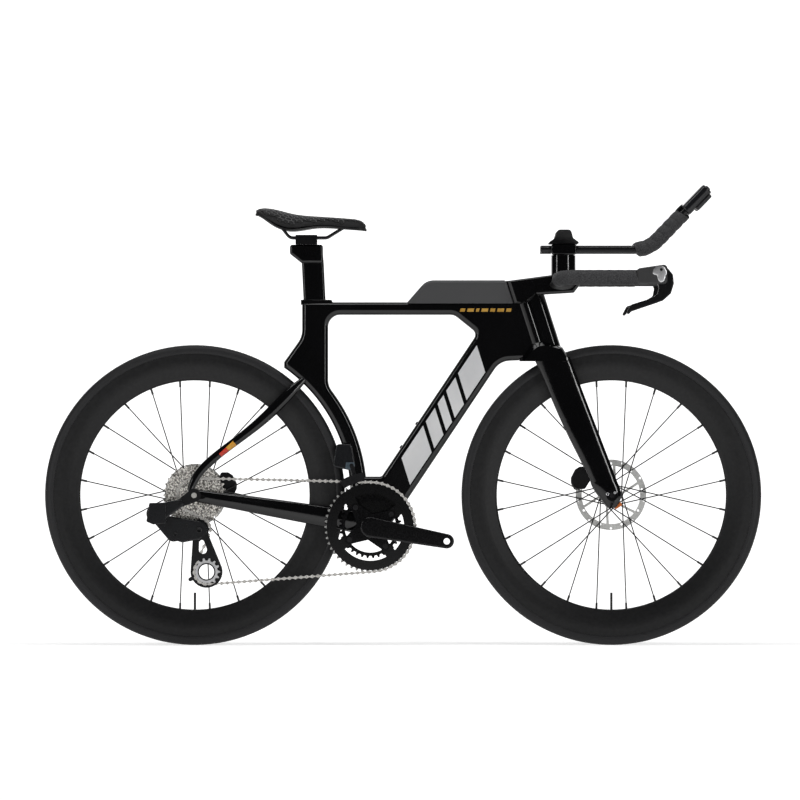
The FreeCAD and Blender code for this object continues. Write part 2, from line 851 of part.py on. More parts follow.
def seat_stay():
    """One seat stay, from the side of the seat tube to the dropout."""
    corner = fin_corner()[0]
    top = Vector(corner[0] + S.seat_stay_ahead, -(S.frame_width / 2 + S.run_gap), corner[1] - S.seat_stay_drop)
    end = Vector(REAR[0] - S.seat_stay_end_back, -dropout_spread(), REAR[1] + S.seat_stay_end_rise)
    along = (end - top).normalize()
    across = Vector(0, 1, 0)
    up = along.cross(across).normalize()
    foot = Vector(REAR[0], end.y, REAR[1])
    places = [(top + (end - top) * share, scale) for share, scale in SEAT_STAY_SHARES]
    places.append((end + (foot - end) * HALF_SHARE, FOOT_SCALE_SHARE))
    half_width = across * float(S.stay_width / 2)
    half_depth = up * float(S.seat_stay_depth / 2)
    sections = [ellipse(middle, half_width * scale, half_depth * scale) for middle, scale in places]
    return loft(sections).cut(beyond_dropout())


FOOT_SCALE_SHARE = 0.85


def stays(frame):
    """Both pairs of stays, cut to sit on the front triangle and on each other."""
    lower = chain_stay().cut(frame.Shape)
    upper = seat_stay().cut([frame.Shape, lower])
    group("chain_stays", pair(largest(lower)))
    group("seat_stays", pair(largest(upper)))


def largest(shape):
    return max(shape.Solids, key=lambda solid: solid.Volume)


def ring_solid(outer, inner, start, along):
    return cylinder(outer, start, along).cut(cylinder(inner, start, along))


def frame_bearings():
    """The two head bearings and the two bottom bracket cups."""
    bore = S.steerer_radius + S.shaft_gap
    rings = [ring_solid(S.bearing_radius, bore, on_steering(height), STEER_UP * float(S.bearing_height))
             for height in (HEAD_LOW, HEAD_HIGH - S.bearing_height)]
    bore = S.spindle_radius + S.shaft_gap
    face = S.shell_length / 2
    cup = cylinder(S.cup_radius, Vector(BRACKET[0], -face, BRACKET[1]), Vector(0, S.cup_depth, 0))
    lip = cylinder(S.cup_lip_radius, Vector(BRACKET[0], -face - S.cup_lip, BRACKET[1]), Vector(0, S.cup_lip, 0))
    hole = cylinder(bore, Vector(BRACKET[0], -S.shell_length, BRACKET[1]), Vector(0, S.shell_length, 0))
    return group("frame_bearings", rings + pair(cup.fuse(lip).cut(hole)))


def through_axle(name, x, right, left):
    """A through axle with a round head on the left."""
    bar = rod(name + "_bar", S.axle_radius, right + left, (x, -right, AXLE_Z))
    head = rod(name + "_head", S.axle_head_radius, S.axle_head, (x, left, AXLE_Z))
    return keep(boolean("Part::Fuse", name, bar, head))


# Wheels

RIM_INNER = S.rim_radius - S.rim_depth
RIM_WIDEST_SHARE = 0.42
FIRST_SPOKE_ANGLE = -82.5
TYRE_SIDE_SHARE = 0.25


def tyre(name, x):
    """A tyre casing with its beads seated in the rim channel."""
    half = S.tyre_width / 2
    inner = half - S.tyre_wall
    top = TYRE_RADIUS - S.tyre_wall
    edge = S.rim_radius + S.fit_gap
    bead = S.channel_width / 2 - S.fit_gap
    foot = S.rim_radius - S.channel_depth + S.fit_gap
    flank = TYRE_RADIUS - half - half * TYRE_SIDE_SHARE
    side = [(TYRE_RADIUS, half, half), (flank, half, half), (edge, half - S.tyre_wall * HALF_SHARE),
            (edge, bead), (foot, bead), (foot, bead - S.tyre_wall), (edge, bead - S.tyre_wall),
            (flank, inner, S.tyre_wall), (top, inner, inner)]
    mirror = [(corner[0], -corner[1], *corner[2:]) for corner in reversed(side)]
    return keep(turned(name, side + mirror, (x, 0, AXLE_Z)))


def rim(name, x):
    """A deep rim: straight edges, swelling flanks and a round nose towards the hub."""
    widest = S.rim_radius - S.rim_depth * RIM_WIDEST_SHARE
    bed = S.rim_radius - S.channel_depth
    side = [(bed, S.channel_width / 2), (S.rim_radius, S.channel_width / 2),
            (S.rim_radius, S.rim_edge_width / 2),
            (widest, S.rim_width / 2, S.rim_flank_radius), (RIM_INNER, S.rim_nose_width / 2, S.rim_nose_radius)]
    mirror = [(corner[0], -corner[1], *corner[2:]) for corner in reversed(side)]
    return keep(turned(name, side + mirror, (x, 0, AXLE_Z)))


def spokes(name, middle, right, left):
    """Crossed spokes, each with its nipple, in pairs that leave the hub forwards and backwards."""
    lead = math.degrees(math.acos(S.spoke_seat / RIM_INNER))
    shapes = []
    for index in range(SPOKE_COUNT):
        angle = FIRST_SPOKE_ANGLE + index * FULL_TURN / SPOKE_COUNT
        side = -1 if index % 2 == 0 else 1
        turn = 1 if index % 4 < 2 else -1
        flange = right if side < 0 else left
        hub_x, hub_z = polar(middle, S.spoke_seat, angle + turn * lead)
        rim_x, rim_z = polar(middle, RIM_INNER - S.fit_gap * 2, angle)
        start = Vector(hub_x, side * flange + turn * S.spoke_shift, hub_z)
        end = Vector(rim_x, side * S.rim_spoke_shift, rim_z)
        along = end - start
        nipple = Vector(along).normalize() * float(S.nipple_length)
        collar = cylinder(S.nipple_radius, end - nipple, nipple)
        shapes.append(cylinder(S.spoke_radius, start, along).fuse(collar))
    return group(name, shapes)


def hub(name, x, right_end, right, left, left_end, rotor_place):
    """A hub shell with two spoke flanges, a rotor seat and a bore for the through axle."""
    bore = S.axle_radius + S.shaft_gap
    flange = S.spoke_seat - S.spoke_radius - S.fit_gap
    thick = S.flange_thickness
    rotor_inner = rotor_place - S.rotor_thickness / 2 - S.fit_gap
    rotor_outer = rotor_place + S.rotor_thickness / 2 + S.lockring_thickness + S.fit_gap * 2
    spigot = S.rotor_seat_radius - S.fit_gap
    shoulder = S.rotor_seat_radius + S.rotor_shoulder
    corners = [(bore, -right_end), (S.hub_end_radius, -right_end), (S.hub_end_radius, -right - thick),
               (flange, -right - thick / 2), (flange, -right + thick / 2), (S.hub_radius, -right + thick),
               (S.hub_radius, left - thick), (flange, left - thick / 2), (flange, left + thick / 2),
               (shoulder, left + thick), (shoulder, rotor_inner), (spigot, rotor_inner), (spigot, rotor_outer),
               (S.hub_end_radius, rotor_outer), (S.hub_end_radius, left_end), (bore, left_end)]
    return keep(turned_body(name, corners, (x, 0, AXLE_Z)))


def rotor(name, middle, radius, at):
    """A brake rotor with swept arms and vent holes, and the lockring that holds it."""
    low = at - S.rotor_thickness / 2
    start = Vector(middle[0], low, middle[1])
    through = Vector(0, S.rotor_thickness, 0)
    track = radius - S.rotor_track
    disc = ring_solid(radius, track, start, through)
    carrier = ring_solid(S.rotor_seat_radius + S.rotor_seat, S.rotor_seat_radius, start, through)
    step = FULL_TURN / ROTOR_ARMS
    arms = []
    for index in range(ROTOR_ARMS):
        foot = polar(middle, S.rotor_seat_radius + S.rotor_seat * HALF_SHARE, index * step)
        tip = polar(middle, track + S.rotor_arm_width / 2, index * step + step * ARM_SWEEP_SHARE)
        outline = link_outline(foot, S.rotor_arm_width / 2 * ROTOR_FOOT_SHARE, tip, S.rotor_arm_width / 2, low)
        arms.append(slab(outline, S.rotor_thickness))
    solid = disc.fuse([carrier] + arms)
    holes = []
    for index in range(ROTOR_HOLES):
        reach = track + S.rotor_track * ROTOR_HOLE_SHARES[index % 2]
        x, z = polar(middle, reach, (index + HALF_SHARE) * FULL_TURN / ROTOR_HOLES)
        holes.append(cylinder(S.rotor_hole_radius, Vector(x, low, z), through))
    bore = cylinder(S.rotor_seat_radius, start, through)
    outer = Vector(middle[0], low + S.rotor_thickness + S.fit_gap, middle[1])
    lockring = ring_solid(S.lockring_radius, S.rotor_seat_radius, outer, Vector(0, S.lockring_thickness, 0))
    return group(name, [solid.cut(holes + [bore]), lockring])


ARM_SWEEP_SHARE = 0.4
ROTOR_FOOT_SHARE = 0.8
ROTOR_HOLE_SHARES = (0.35, 0.7)


def valve(name, x):
    """The valve stem, which stands out of the rim towards the hub."""
    length = S.valve_length
    item = rod(name, S.valve_radius, length, (x, 0, AXLE_Z - RIM_INNER + S.fit_gap),
               Rotation(Vector(0, 0, 1), Vector(0, 0, 1)))
    return keep(item)


def wheels():
    """Both wheels, without their axles."""
    front_end = S.front_space / 2 - S.run_gap
    rear_end = S.dropout_space / 2 - S.run_gap
    shell_end = S.freehub_inner - S.run_gap
    for name, x, middle in (("front", FRONT_X, FRONT), ("rear", REAR_X, REAR)):
        tyre(f"{name}_tyre", x)
        rim(f"{name}_rim", x)
        valve(f"{name}_valve", x)
    spokes("front_spokes", FRONT, S.front_right_flange, S.front_left_flange)
    spokes("rear_spokes", REAR, S.rear_right_flange, S.rear_left_flange)
    hub("front_hub", FRONT_X, front_end, S.front_right_flange, S.front_left_flange, front_end,
        S.front_rotor_place)
    hub("rear_hub", REAR_X, shell_end, S.rear_right_flange, S.rear_left_flange, rear_end, S.rear_rotor_place)
    rotor("front_rotor", FRONT, S.front_rotor_radius, S.front_rotor_place)
    rotor("rear_rotor", REAR, S.rear_rotor_radius, S.rear_rotor_place)


# Drive

TOOTH_FOOT_SHARE = 0.3
TOOTH_TIP_SHARE = 0.11


def pitch_radius(teeth):
    return float(S.chain_pitch) / (2 * math.sin(math.pi / teeth))


def toothed_plate(middle, teeth, y, bore):
    """A flat toothed disc with a round bore, centred on a plane across Y."""
    low = float(y) - float(S.tooth_thickness / 2)
    pitch = pitch_radius(teeth)
    step = FULL_TURN / teeth
    foot = pitch - S.tooth_drop
    tip = pitch + S.tooth_rise
    flanks = ((-TOOTH_FOOT_SHARE, foot), (-TOOTH_TIP_SHARE, tip), (TOOTH_TIP_SHARE, tip),
              (TOOTH_FOOT_SHARE, foot))
    points = []
    for index in range(teeth):
        for share, radius in flanks:
            x, z = polar(middle, radius, (index + share) * step)
            points.append(Vector(x, low, z))
    plate = slab(Part.makePolygon(points + points[:1]), S.tooth_thickness)
    return plate.cut(cylinder(bore, Vector(middle[0], low, middle[1]), Vector(0, S.tooth_thickness, 0)))


def chainring(name, teeth, y, band, nut_depth):
    """A chainring: toothed rim, thicker body and four bolt tabs, sunk on the inside for the nuts."""
    body_outer = pitch_radius(teeth) - S.tooth_drop - S.plate_height * RING_STEP_SHARE
    body_inner = body_outer - band
    low = -y - S.ring_body / 2
    start = Vector(BRACKET[0], low, BRACKET[1])
    through = Vector(0, S.ring_body, 0)
    body = ring_solid(body_outer, body_inner, start, through)
    solid = toothed_plate(BRACKET, teeth, -y, body_inner).fuse(body)
    tabs = []
    holes = []
    for angle in SPIDER_ANGLES:
        bolt = polar(BRACKET, S.bolt_circle, angle - S.crank_drop_angle)
        root = polar(BRACKET, body_inner + S.ring_rim * HALF_SHARE, angle - S.crank_drop_angle)
        outline = link_outline(root, S.tab_radius * TAB_ROOT_SHARE, bolt, S.tab_radius, low)
        tabs.append(slab(outline, S.ring_body))
        holes.append(cylinder(S.bolt_radius + S.fit_gap, Vector(bolt[0], low, bolt[1]), through))
        if nut_depth > 0:
            seat = Vector(bolt[0], low + S.ring_body - nut_depth, bolt[1])
            holes.append(cylinder(S.bolt_head_radius + S.fit_gap, seat, Vector(0, nut_depth, 0)))
    rim_guard = ring_solid(TYRE_RADIUS, body_outer, start, through)
    tabs = [tab.cut(rim_guard) for tab in tabs]
    return keep(feature(name, solid.fuse(tabs).cut(holes)))


RING_STEP_SHARE = 0.2
TAB_ROOT_SHARE = 1.3


def chainring_bolts():
    """Four bolts with their heads outside the spider and their nuts sunk in the small ring."""
    inner = S.chain_plane - S.ring_spacing - S.ring_body / 2
    outer = S.chain_plane + S.ring_body / 2 + S.spider_thickness + S.fit_gap * 2
    shapes = []
    for angle in SPIDER_ANGLES:
        x, z = polar(BRACKET, S.bolt_circle, angle - S.crank_drop_angle)
        shank = cylinder(S.bolt_radius, Vector(x, -outer, z), Vector(0, outer - inner, 0))
        head = cylinder(S.bolt_head_radius, Vector(x, -outer - S.bolt_head, z), Vector(0, S.bolt_head, 0))
        nut = cylinder(S.bolt_head_radius, Vector(x, -inner - S.bolt_head, z), Vector(0, S.bolt_head, 0))
        shapes.append(shank.fuse([head, nut]))
    return group("chainring_bolts", shapes)


def crank_arm(direction):
    """One crank arm on the drive side, pointing along an angle."""
    tip = polar(BRACKET, S.crank_length, direction)
    low = -S.crank_face
    arm = slab(link_outline(BRACKET, S.crank_root_radius, tip, S.crank_end_radius, low), S.crank_thickness)
    rims = edges_across(arm, low) + edges_across(arm, low + S.crank_thickness)
    arm = round_edges(arm, S.crank_edge_round, rims)
    hole = cylinder(S.pedal_hole_radius, Vector(tip[0], low, tip[1]), Vector(0, S.crank_thickness, 0))
    return arm.cut(hole)


def cranks():
    """The right crank with its spider and spindle, and the left arm that slides onto the spindle."""
    inner_face = S.crank_face - S.crank_thickness
    spider_low = -(S.chain_plane + S.ring_body / 2 + S.fit_gap + S.spider_thickness)
    arms = []
    holes = []
    for angle in SPIDER_ANGLES:
        bolt = polar(BRACKET, S.bolt_circle, angle - S.crank_drop_angle)
        outline = link_outline(BRACKET, S.spider_radius, bolt, S.tab_radius, spider_low)
        arms.append(slab(outline, S.spider_thickness))
        holes.append(cylinder(S.bolt_radius + S.fit_gap, Vector(bolt[0], spider_low, bolt[1]),
                              Vector(0, S.spider_thickness, 0)))
    neck_low = -inner_face - S.crank_edge_round
    neck = cylinder(S.crank_root_radius - S.crank_edge_round, Vector(BRACKET[0], neck_low, BRACKET[1]),
                    Vector(0, spider_low + S.spider_thickness - neck_low, 0))
    left_end = S.crank_face - S.crank_thickness / 4
    spindle = cylinder(S.spindle_radius, Vector(BRACKET[0], -inner_face - S.crank_edge_round, BRACKET[1]),
                       Vector(0, inner_face + S.crank_edge_round + left_end, 0))
    right = crank_arm(-S.crank_drop_angle).fuse([neck, spindle] + arms).cut(holes)
    keep(feature("right_crank", right))
    left = mirrored(crank_arm(FULL_TURN / 2 - S.crank_drop_angle))
    socket = cylinder(S.spindle_radius + S.fit_gap, Vector(BRACKET[0], 0, BRACKET[1]),
                      Vector(0, left_end + S.fit_gap, 0))
    collar_low = S.shell_length / 2 + S.cup_lip + S.run_gap
    collar = cylinder(S.crank_root_radius - S.crank_edge_round, Vector(BRACKET[0], collar_low, BRACKET[1]),
                      Vector(0, inner_face - collar_low + S.crank_edge_round, 0))
    return keep(feature("left_crank_arm", left.fuse(collar).cut(socket)))


def cassette():
    """Twelve sprockets, each with the collar that spaces it from the next, and the lockring."""
    shapes = []
    thick = S.sprocket_pitch - S.plate_gap
    for index, teeth in enumerate(SPROCKET_TEETH):
        y = -(S.cassette_outer - S.sprocket_pitch * index)
        start = Vector(REAR[0], y - thick / 2, REAR[1])
        collar = ring_solid(S.sprocket_collar, S.sprocket_bore, start, Vector(0, thick, 0))
        shapes.append(toothed_plate(REAR, teeth, y, S.sprocket_bore).fuse(collar))
    outer = S.cassette_outer + S.sprocket_pitch / 2
    bore = S.axle_radius + S.shaft_gap
    body = S.sprocket_bore - S.fit_gap
    stop = S.cassette_outer - S.sprocket_pitch * len(SPROCKET_TEETH) + S.sprocket_pitch / 2 - S.fit_gap
    corners = [(bore, -S.freehub_outer), (S.hub_end_radius, -S.freehub_outer), (S.hub_end_radius, -outer),
               (body, -outer), (body, -stop), (S.sprocket_collar, -stop), (S.sprocket_collar, -S.freehub_inner),
               (bore, -S.freehub_inner)]
    keep(turned_body("freehub_body", corners, (REAR_X, 0, AXLE_Z)))
    ring = ring_solid(S.cassette_ring_radius, S.hub_end_radius + S.fit_gap,
                      Vector(REAR[0], -S.freehub_outer, REAR[1]),
                      Vector(0, S.freehub_outer - outer - S.fit_gap, 0))
    return group("cassette_sprockets", shapes + [ring])


# Fork, stem and bars

# Shares for each section: leg height above the axle, that height behind it, the chord, the spread.
BLADE_SHARES = ((1.0, 0.434, 1.03, 0.0), (0.77, 0.34, 0.96, 0.2), (0.545, 0.249, 0.92, 0.43),
                (0.32, 0.151, 0.83, 0.68), (0.0945, 0.054, 0.737, 0.95))
TIP_SHARES = BLADE_SHARES[-1:] + ((0.02, 0.024, 0.7, 1.0), (-0.04, 0.005, 0.5, 1.0),
                                  (-0.09, 0.004, 0.24, 1.0))
CROWN_TOP_SHARE = 0.56


def leg_stretch(shares):
    """A stretch of the drive side's leg, lofted through elliptic sections."""
    foot = float(S.front_space / 2) + float(S.leg_thickness / 2 - S.leg_inset)
    height = float(TYRE_RADIUS - S.leg_top_drop)
    sections = []
    for up, back, chord, spread in shares:
        y = -(S.leg_top_spread + (foot - S.leg_top_spread) * spread)
        middle = Vector(FRONT[0] - height * back, y, FRONT[1] + height * up)
        half_chord = Vector(S.leg_chord / 2 * chord, 0, 0)
        sections.append(ellipse(middle, half_chord, Vector(0, S.leg_thickness / 2, 0)))
    return loft(sections)


def fork_leg():
    """One fork leg on the drive side: its blade, its tip and the boss that holds the axle."""
    face = float(S.front_space / 2)
    boss = cylinder(S.leg_boss_radius, Vector(FRONT[0], -face - S.leg_thickness, FRONT[1]),
                    Vector(0, S.leg_thickness, 0))
    hub_space = cylinder(S.leg_boss_radius * 2, Vector(FRONT[0], -face, FRONT[1]), Vector(0, face, 0))
    hole = cylinder(S.axle_radius + S.fit_gap, Vector(FRONT[0], -S.front_space, FRONT[1]),
                    Vector(0, S.front_space, 0))
    return leg_stretch(BLADE_SHARES).fuse([leg_stretch(TIP_SHARES), boss]).cut([hub_space, hole])


def level_box(x_low, x_high, half_width, z, radius):
    """A rounded rectangle in a level plane."""
    corners = [(x_low, -half_width), (x_high, -half_width), (x_high, half_width), (x_low, half_width)]
    return rounded([(Vector(x, y, z), radius) for x, y in corners])


def spar_section(height):
    """The outline of the front spar, square to the steering axis: a half ellipse ahead of the head tube."""
    side = Vector(0, S.spar_width / 2, 0)
    back = on_steering(height)
    front = on_steering(height, S.spar_front)
    return rounded([(back - side, 0), (front - side, S.spar_width / 2), (front + side, S.spar_width / 2),
                    (back + side, 0)])


def spar():
    low = float(HEAD_LOW - S.crown_low)
    high = float(HEAD_HIGH + S.spar_top)
    solid = Part.Face(spar_section(low)).extrude(STEER_UP * (high - low))
    room = STEER_UP * (high - low + S.overrun * 2)
    return solid.cut(cylinder(S.head_radius + S.spar_gap, on_steering(low - S.overrun), room))


def fork():
    """The fork: two bladed legs, the crown, the steerer and the spar in front of the head tube."""
    leg = fork_leg()
    seat = on_steering(HEAD_LOW)
    low = seat.z - S.crown_low
    high = seat.z + S.crown_low * CROWN_TOP_SHARE
    sections = [level_box(seat.x - S.crown_back, seat.x + S.crown_front, S.crown_width / 2, low, S.crown_round),
                level_box(seat.x - S.crown_back / 2, seat.x + S.crown_front / 2, S.crown_top_width / 2, high,
                          S.crown_round)]
    crown = loft(sections).common(steering_cone(HEAD_LOW - S.run_gap, -1, 0))
    arch = cylinder(TYRE_RADIUS + S.arch_gap, Vector(FRONT[0], -S.arch_width / 2, FRONT[1]),
                    Vector(0, S.arch_width, 0))
    steerer = cylinder(S.steerer_radius, on_steering(HEAD_LOW - S.crown_low / 2),
                       STEER_UP * float(S.head_tube_length + S.crown_low / 2 + S.steerer_top))
    solid = crown.fuse([steerer, spar()] + pair(leg)).cut(arch)
    return keep(feature("fork", largest(solid)))


def head_guard(clearance):
    """The space of the head tube and its upper cone, which the stem stays out of."""
    seat = HEAD_HIGH + clearance
    radius = float(S.head_radius)
    reach = float(S.stem_back + S.overrun * 2)
    slope = (reach - radius) / math.tan(math.radians(S.cone_angle))
    points = [on_steering(HEAD_LOW), on_steering(HEAD_LOW, reach), on_steering(seat + slope, reach),
              on_steering(seat, radius), on_steering(seat)]
    return Part.Face(Part.makePolygon(points + points[:1])).revolve(STEER_FOOT, STEER_UP, FULL_TURN)


def bar_front():
    """The x and z of the bar's hand grips."""
    clamp = on_steering(HEAD_HIGH)
    return clamp.x + S.bar_reach, clamp.z + S.bar_rise


# Share of the half span, share of the way from root to end place, share of the change of chord.
WING_SHARES = ((0.0, 0.0, 0.0), (0.6, 0.5, 0.45), (1.0, 1.0, 0.97))


def base_bar():
    """The base bar: a wing through the stem and two horns that bend forward."""
    x, z = bar_front()
    root_x = x + S.wing_ahead
    sections = []
    for share, way, change in WING_SHARES:
        chord = S.wing_chord + (S.horn_radius * 2 - S.wing_chord) * change
        thick = S.wing_thickness + (S.horn_radius * 2 - S.wing_thickness) * change
        drop = S.wing_drop * (1 - way * HALF_SHARE)
        middle = Vector(root_x + (x - root_x) * way, -S.wing_half_span * share, z - drop)
        sections.append(ellipse(middle, Vector(chord / 2, 0, 0), Vector(0, 0, thick / 2)))
    half = loft(sections)
    horn = pipe(horn_path(0, S.horn_length), S.horn_radius)
    solid = half.fuse(horn)
    return keep(feature("base_bar", solid.fuse(mirrored(solid)).removeSplitter()))


def horn_path(start_share, length):
    """The middle line of the right horn, from a share of the way to its bend and forward by a length."""
    x, z = bar_front()
    root = Vector(x, -S.wing_half_span * WING_OVERLAP_SHARE, z - S.wing_drop * HALF_SHARE)
    corner = Vector(x, -S.bar_half_width, z)
    start = root + (corner - root) * start_share
    end = Vector(x + length, -S.bar_half_width, z)
    return rounded([(start, 0), (corner, S.horn_bend), (end, 0)], closed=False)


WING_OVERLAP_SHARE = 0.93
TAPE_START_SHARE = 0.3


def sleeve_on(path, outer, inner):
    return pipe(path, outer).cut(pipe(path, inner))


def stem(bar, fork_item):
    """The stem: a slab over the steering axis, closed round the steerer, the spar and the base bar."""
    x, z = bar_front()
    back = on_steering(HEAD_HIGH)
    top_rear = on_steering(HEAD_HIGH + S.stem_top_rise, -S.stem_back)
    front = back.x + S.stem_front_reach
    low = z - S.wing_drop - S.wing_thickness / 2 - S.stem_lip
    slope = z + S.stem_head_rise
    corners = [(top_rear.x, top_rear.z), (x, slope, S.stem_front_reach),
               (front - S.stem_lip, slope, S.stem_lip), (front, z - S.wing_drop, S.stem_lip),
               (front - S.stem_head_inset, low, S.stem_lip),
               (back.x + S.stem_back, low - S.stem_lip), (back.x, back.z - S.stem_lip),
               (back.x - S.stem_back, back.z)]
    plate = soft_slab(corners, -S.stem_width / 2, S.stem_width, S.stem_round)
    reach = float(S.stem_front_reach * 2)
    column = cylinder(S.stem_back, on_steering(HEAD_LOW), STEER_UP * reach)
    ahead = Part.makeBox(reach, reach * 2, reach * 2, Vector(0, -reach, 0))
    ahead.Placement = Placement(on_steering(HEAD_LOW), Rotation(STEER_AHEAD, Vector(0, 1, 0), STEER_UP, "ZXY"))
    bore = cylinder(S.steerer_radius + S.fit_gap, on_steering(HEAD_LOW),
                    STEER_UP * float(S.head_tube_length + S.steerer_top + S.fit_gap))
    solid = plate.common(column.fuse(ahead)).cut([head_guard(S.run_gap), bore, bar.Shape, fork_item.Shape])
    return keep(feature("stem", largest(solid)))


def bar_hoods():
    """Brake lever hoods with a slot for the lever and a pivot pin across it."""
    x, z = bar_front()
    start = x + S.horn_length - S.hood_overlap
    low = z + S.hood_rise - S.hood_height / 2
    side = -S.bar_half_width
    corners = [(start, low, S.hood_round), (start + S.hood_length, low, S.hood_round),
               (start + S.hood_length, low + S.hood_height, S.hood_round),
               (start, low + S.hood_height - S.hood_slope, S.hood_round)]
    body = soft_slab(corners, side - S.hood_width / 2, S.hood_width, S.hood_round * HALF_SHARE)
    bore = cylinder(S.horn_radius + S.fit_gap, Vector(start - S.overrun, side, z),
                    Vector(S.overrun + S.hood_overlap + S.fit_gap, 0, 0))
    pivot_x, pivot_z = lever_pivot()
    slot_width = S.lever_thickness + S.lever_slot_gap * 2
    slot = Part.makeBox(S.hood_length, slot_width, S.hood_height * 2,
                        Vector(pivot_x - S.lever_slot_back, side - slot_width / 2, low - S.hood_height / 2))
    pin = cylinder(S.lever_pin_radius, Vector(pivot_x, side - S.hood_width / 2 + S.fit_gap, pivot_z),
                   Vector(0, S.hood_width - S.fit_gap * 2, 0))
    return group("brake_hoods", pair(body.cut([bore, slot]).fuse(pin)))


def lever_pivot():
    x, z = bar_front()
    end = x + S.horn_length - S.hood_overlap + S.hood_length
    return float(end - S.lever_back), float(z + S.hood_rise + S.hood_height / 2 - S.lever_head)


# Lever outline about the pivot, as shares of the reach forward or the length back, and of the tip drop.
LEVER_OUTER_SHARES = ((-0.35, 0.045), (0.4, 0.04), (0.95, -0.14), (1.02, -0.33), (0.8, -0.53), (0.2, -0.68),
                      (-1.1, -0.8), (-2.15, -0.9))
LEVER_INNER_SHARES = ((-2.2, -0.76), (-0.8, -0.64), (-0.22, -0.55), (-0.12, -0.4), (-0.35, -0.2))


def brake_lever(name, side):
    """A brake lever blade that hooks forward, down and back under the grip, with its pivot hole."""
    pivot_x, pivot_z = lever_pivot()
    tip_x = pivot_x - S.lever_length
    tip_z = pivot_z - S.lever_tip_drop
    outer = [(pivot_x + S.lever_reach * x, pivot_z + S.lever_tip_drop * z, S.lever_curve)
             for x, z in LEVER_OUTER_SHARES]
    inner = [(pivot_x + S.lever_reach * x, pivot_z + S.lever_tip_drop * z, S.lever_curve)
             for x, z in LEVER_INNER_SHARES]
    tip = [(tip_x, tip_z, S.lever_tip_depth * TIP_ROUND_SHARE),
           (tip_x, tip_z + S.lever_tip_depth, S.lever_tip_depth * TIP_ROUND_SHARE)]
    middle = side * S.bar_half_width
    low = middle - S.lever_thickness / 2
    blade = soft_slab(outer + tip + inner, low, S.lever_thickness, S.lever_edge_round)
    hole = cylinder(S.lever_pin_radius + S.shaft_gap, Vector(pivot_x, low - S.overrun, pivot_z),
                    Vector(0, S.lever_thickness + S.overrun * 2, 0))
    return keep(feature(name, blade.cut(hole)))


TIP_ROUND_SHARE = 0.4


# Extensions and arm rests

def extension_line(start, slope):
    """The middle line of the right extension, from a distance along it to a length up the slope."""
    x, z = extension_place()
    corner = Vector(x + S.extension_corner, -S.extension_spread / 2, z)
    rise = math.radians(S.extension_rise_angle)
    tip = corner + Vector(math.cos(rise), 0, math.sin(rise)) * float(slope)
    first = Vector(x - S.extension_back + start, -S.extension_spread / 2, z)
    return rounded([(first, 0), (corner, S.extension_bend), (tip, 0)], closed=False)


def extension_place():
    """The x and z of the middle of the extension clamp."""
    x, z = bar_front()
    return float(x + S.riser_ahead), float(z + S.stem_head_rise + S.riser_height)


def extension_riser(stem_item):
    """The oval riser on the stem and the clamp block that holds both extensions."""
    x, z = extension_place()
    foot = z - S.riser_height - S.overrun
    oval = ellipse(Vector(x, 0, foot), Vector(S.riser_length / 2, 0, 0), Vector(0, S.riser_width / 2, 0))
    column = Part.Face(oval).extrude(Vector(0, 0, S.riser_height + S.overrun - S.clamp_height * HALF_SHARE))
    half = S.extension_spread / 2 + S.extension_radius + S.clamp_wall
    block = soft_slab([(x - S.clamp_length / 2, z - S.clamp_height / 2, S.clamp_wall),
                       (x + S.clamp_length / 2, z - S.clamp_height / 2, S.clamp_wall),
                       (x + S.clamp_length / 2, z + S.clamp_height / 2, S.clamp_wall),
                       (x - S.clamp_length / 2, z + S.clamp_height / 2, S.clamp_wall)],
                      -half, half * 2, S.clamp_wall * HALF_SHARE)
    bores = pair(cylinder(S.extension_radius + S.fit_gap,
                          Vector(x - S.clamp_length, -S.extension_spread / 2, z),
                          Vector(S.clamp_length * 2, 0, 0)))
    solid = column.cut(stem_item.Shape).fuse(block).cut(bores)
    return keep(feature("extension_riser", largest(solid)))


def extensions():
    line = extension_line(0, S.extension_slope + S.shifter_overlap)
    return group("extensions", pair(pipe(line, S.extension_radius)))


def bar_tape():
    """Four sleeves of tape: on the two horns and on the two extensions."""
    grip = sleeve_on(horn_path(TAPE_START_SHARE, S.horn_length - S.hood_overlap - S.fit_gap),
                     S.horn_radius + S.tape_thickness, S.horn_radius + S.fit_gap)
    reach = sleeve_on(extension_line(S.extension_tape_start, S.extension_slope - S.fit_gap),
                      S.extension_tape_radius, S.extension_radius + S.fit_gap)
    return group("bar_tape", pair(grip) + pair(reach))


def cup_dome(margin):
    """The side outline of an arm cup: a flat foot that narrows to a rounded crest."""
    x, z = extension_place()
    foot = z + S.clamp_height / 2
    length = S.cup_length / 2 - margin
    crest = foot + S.cup_rise - margin
    shoulder = foot + S.cup_rise * SHOULDER_SHARE
    neck = length * NECK_SHARE
    top = length * CREST_SHARE
    return [(x - length, foot - S.overrun), (x + length, foot - S.overrun), (x + length, foot + S.cup_wall),
            (x + neck, shoulder, S.cup_wall), (x + top, crest, S.cup_wall * 2),
            (x - top, crest, S.cup_wall * 2), (x - neck, shoulder, S.cup_wall), (x - length, foot + S.cup_wall)]


SHOULDER_SHARE = 0.4
NECK_SHARE = 0.62
CREST_SHARE = 0.45


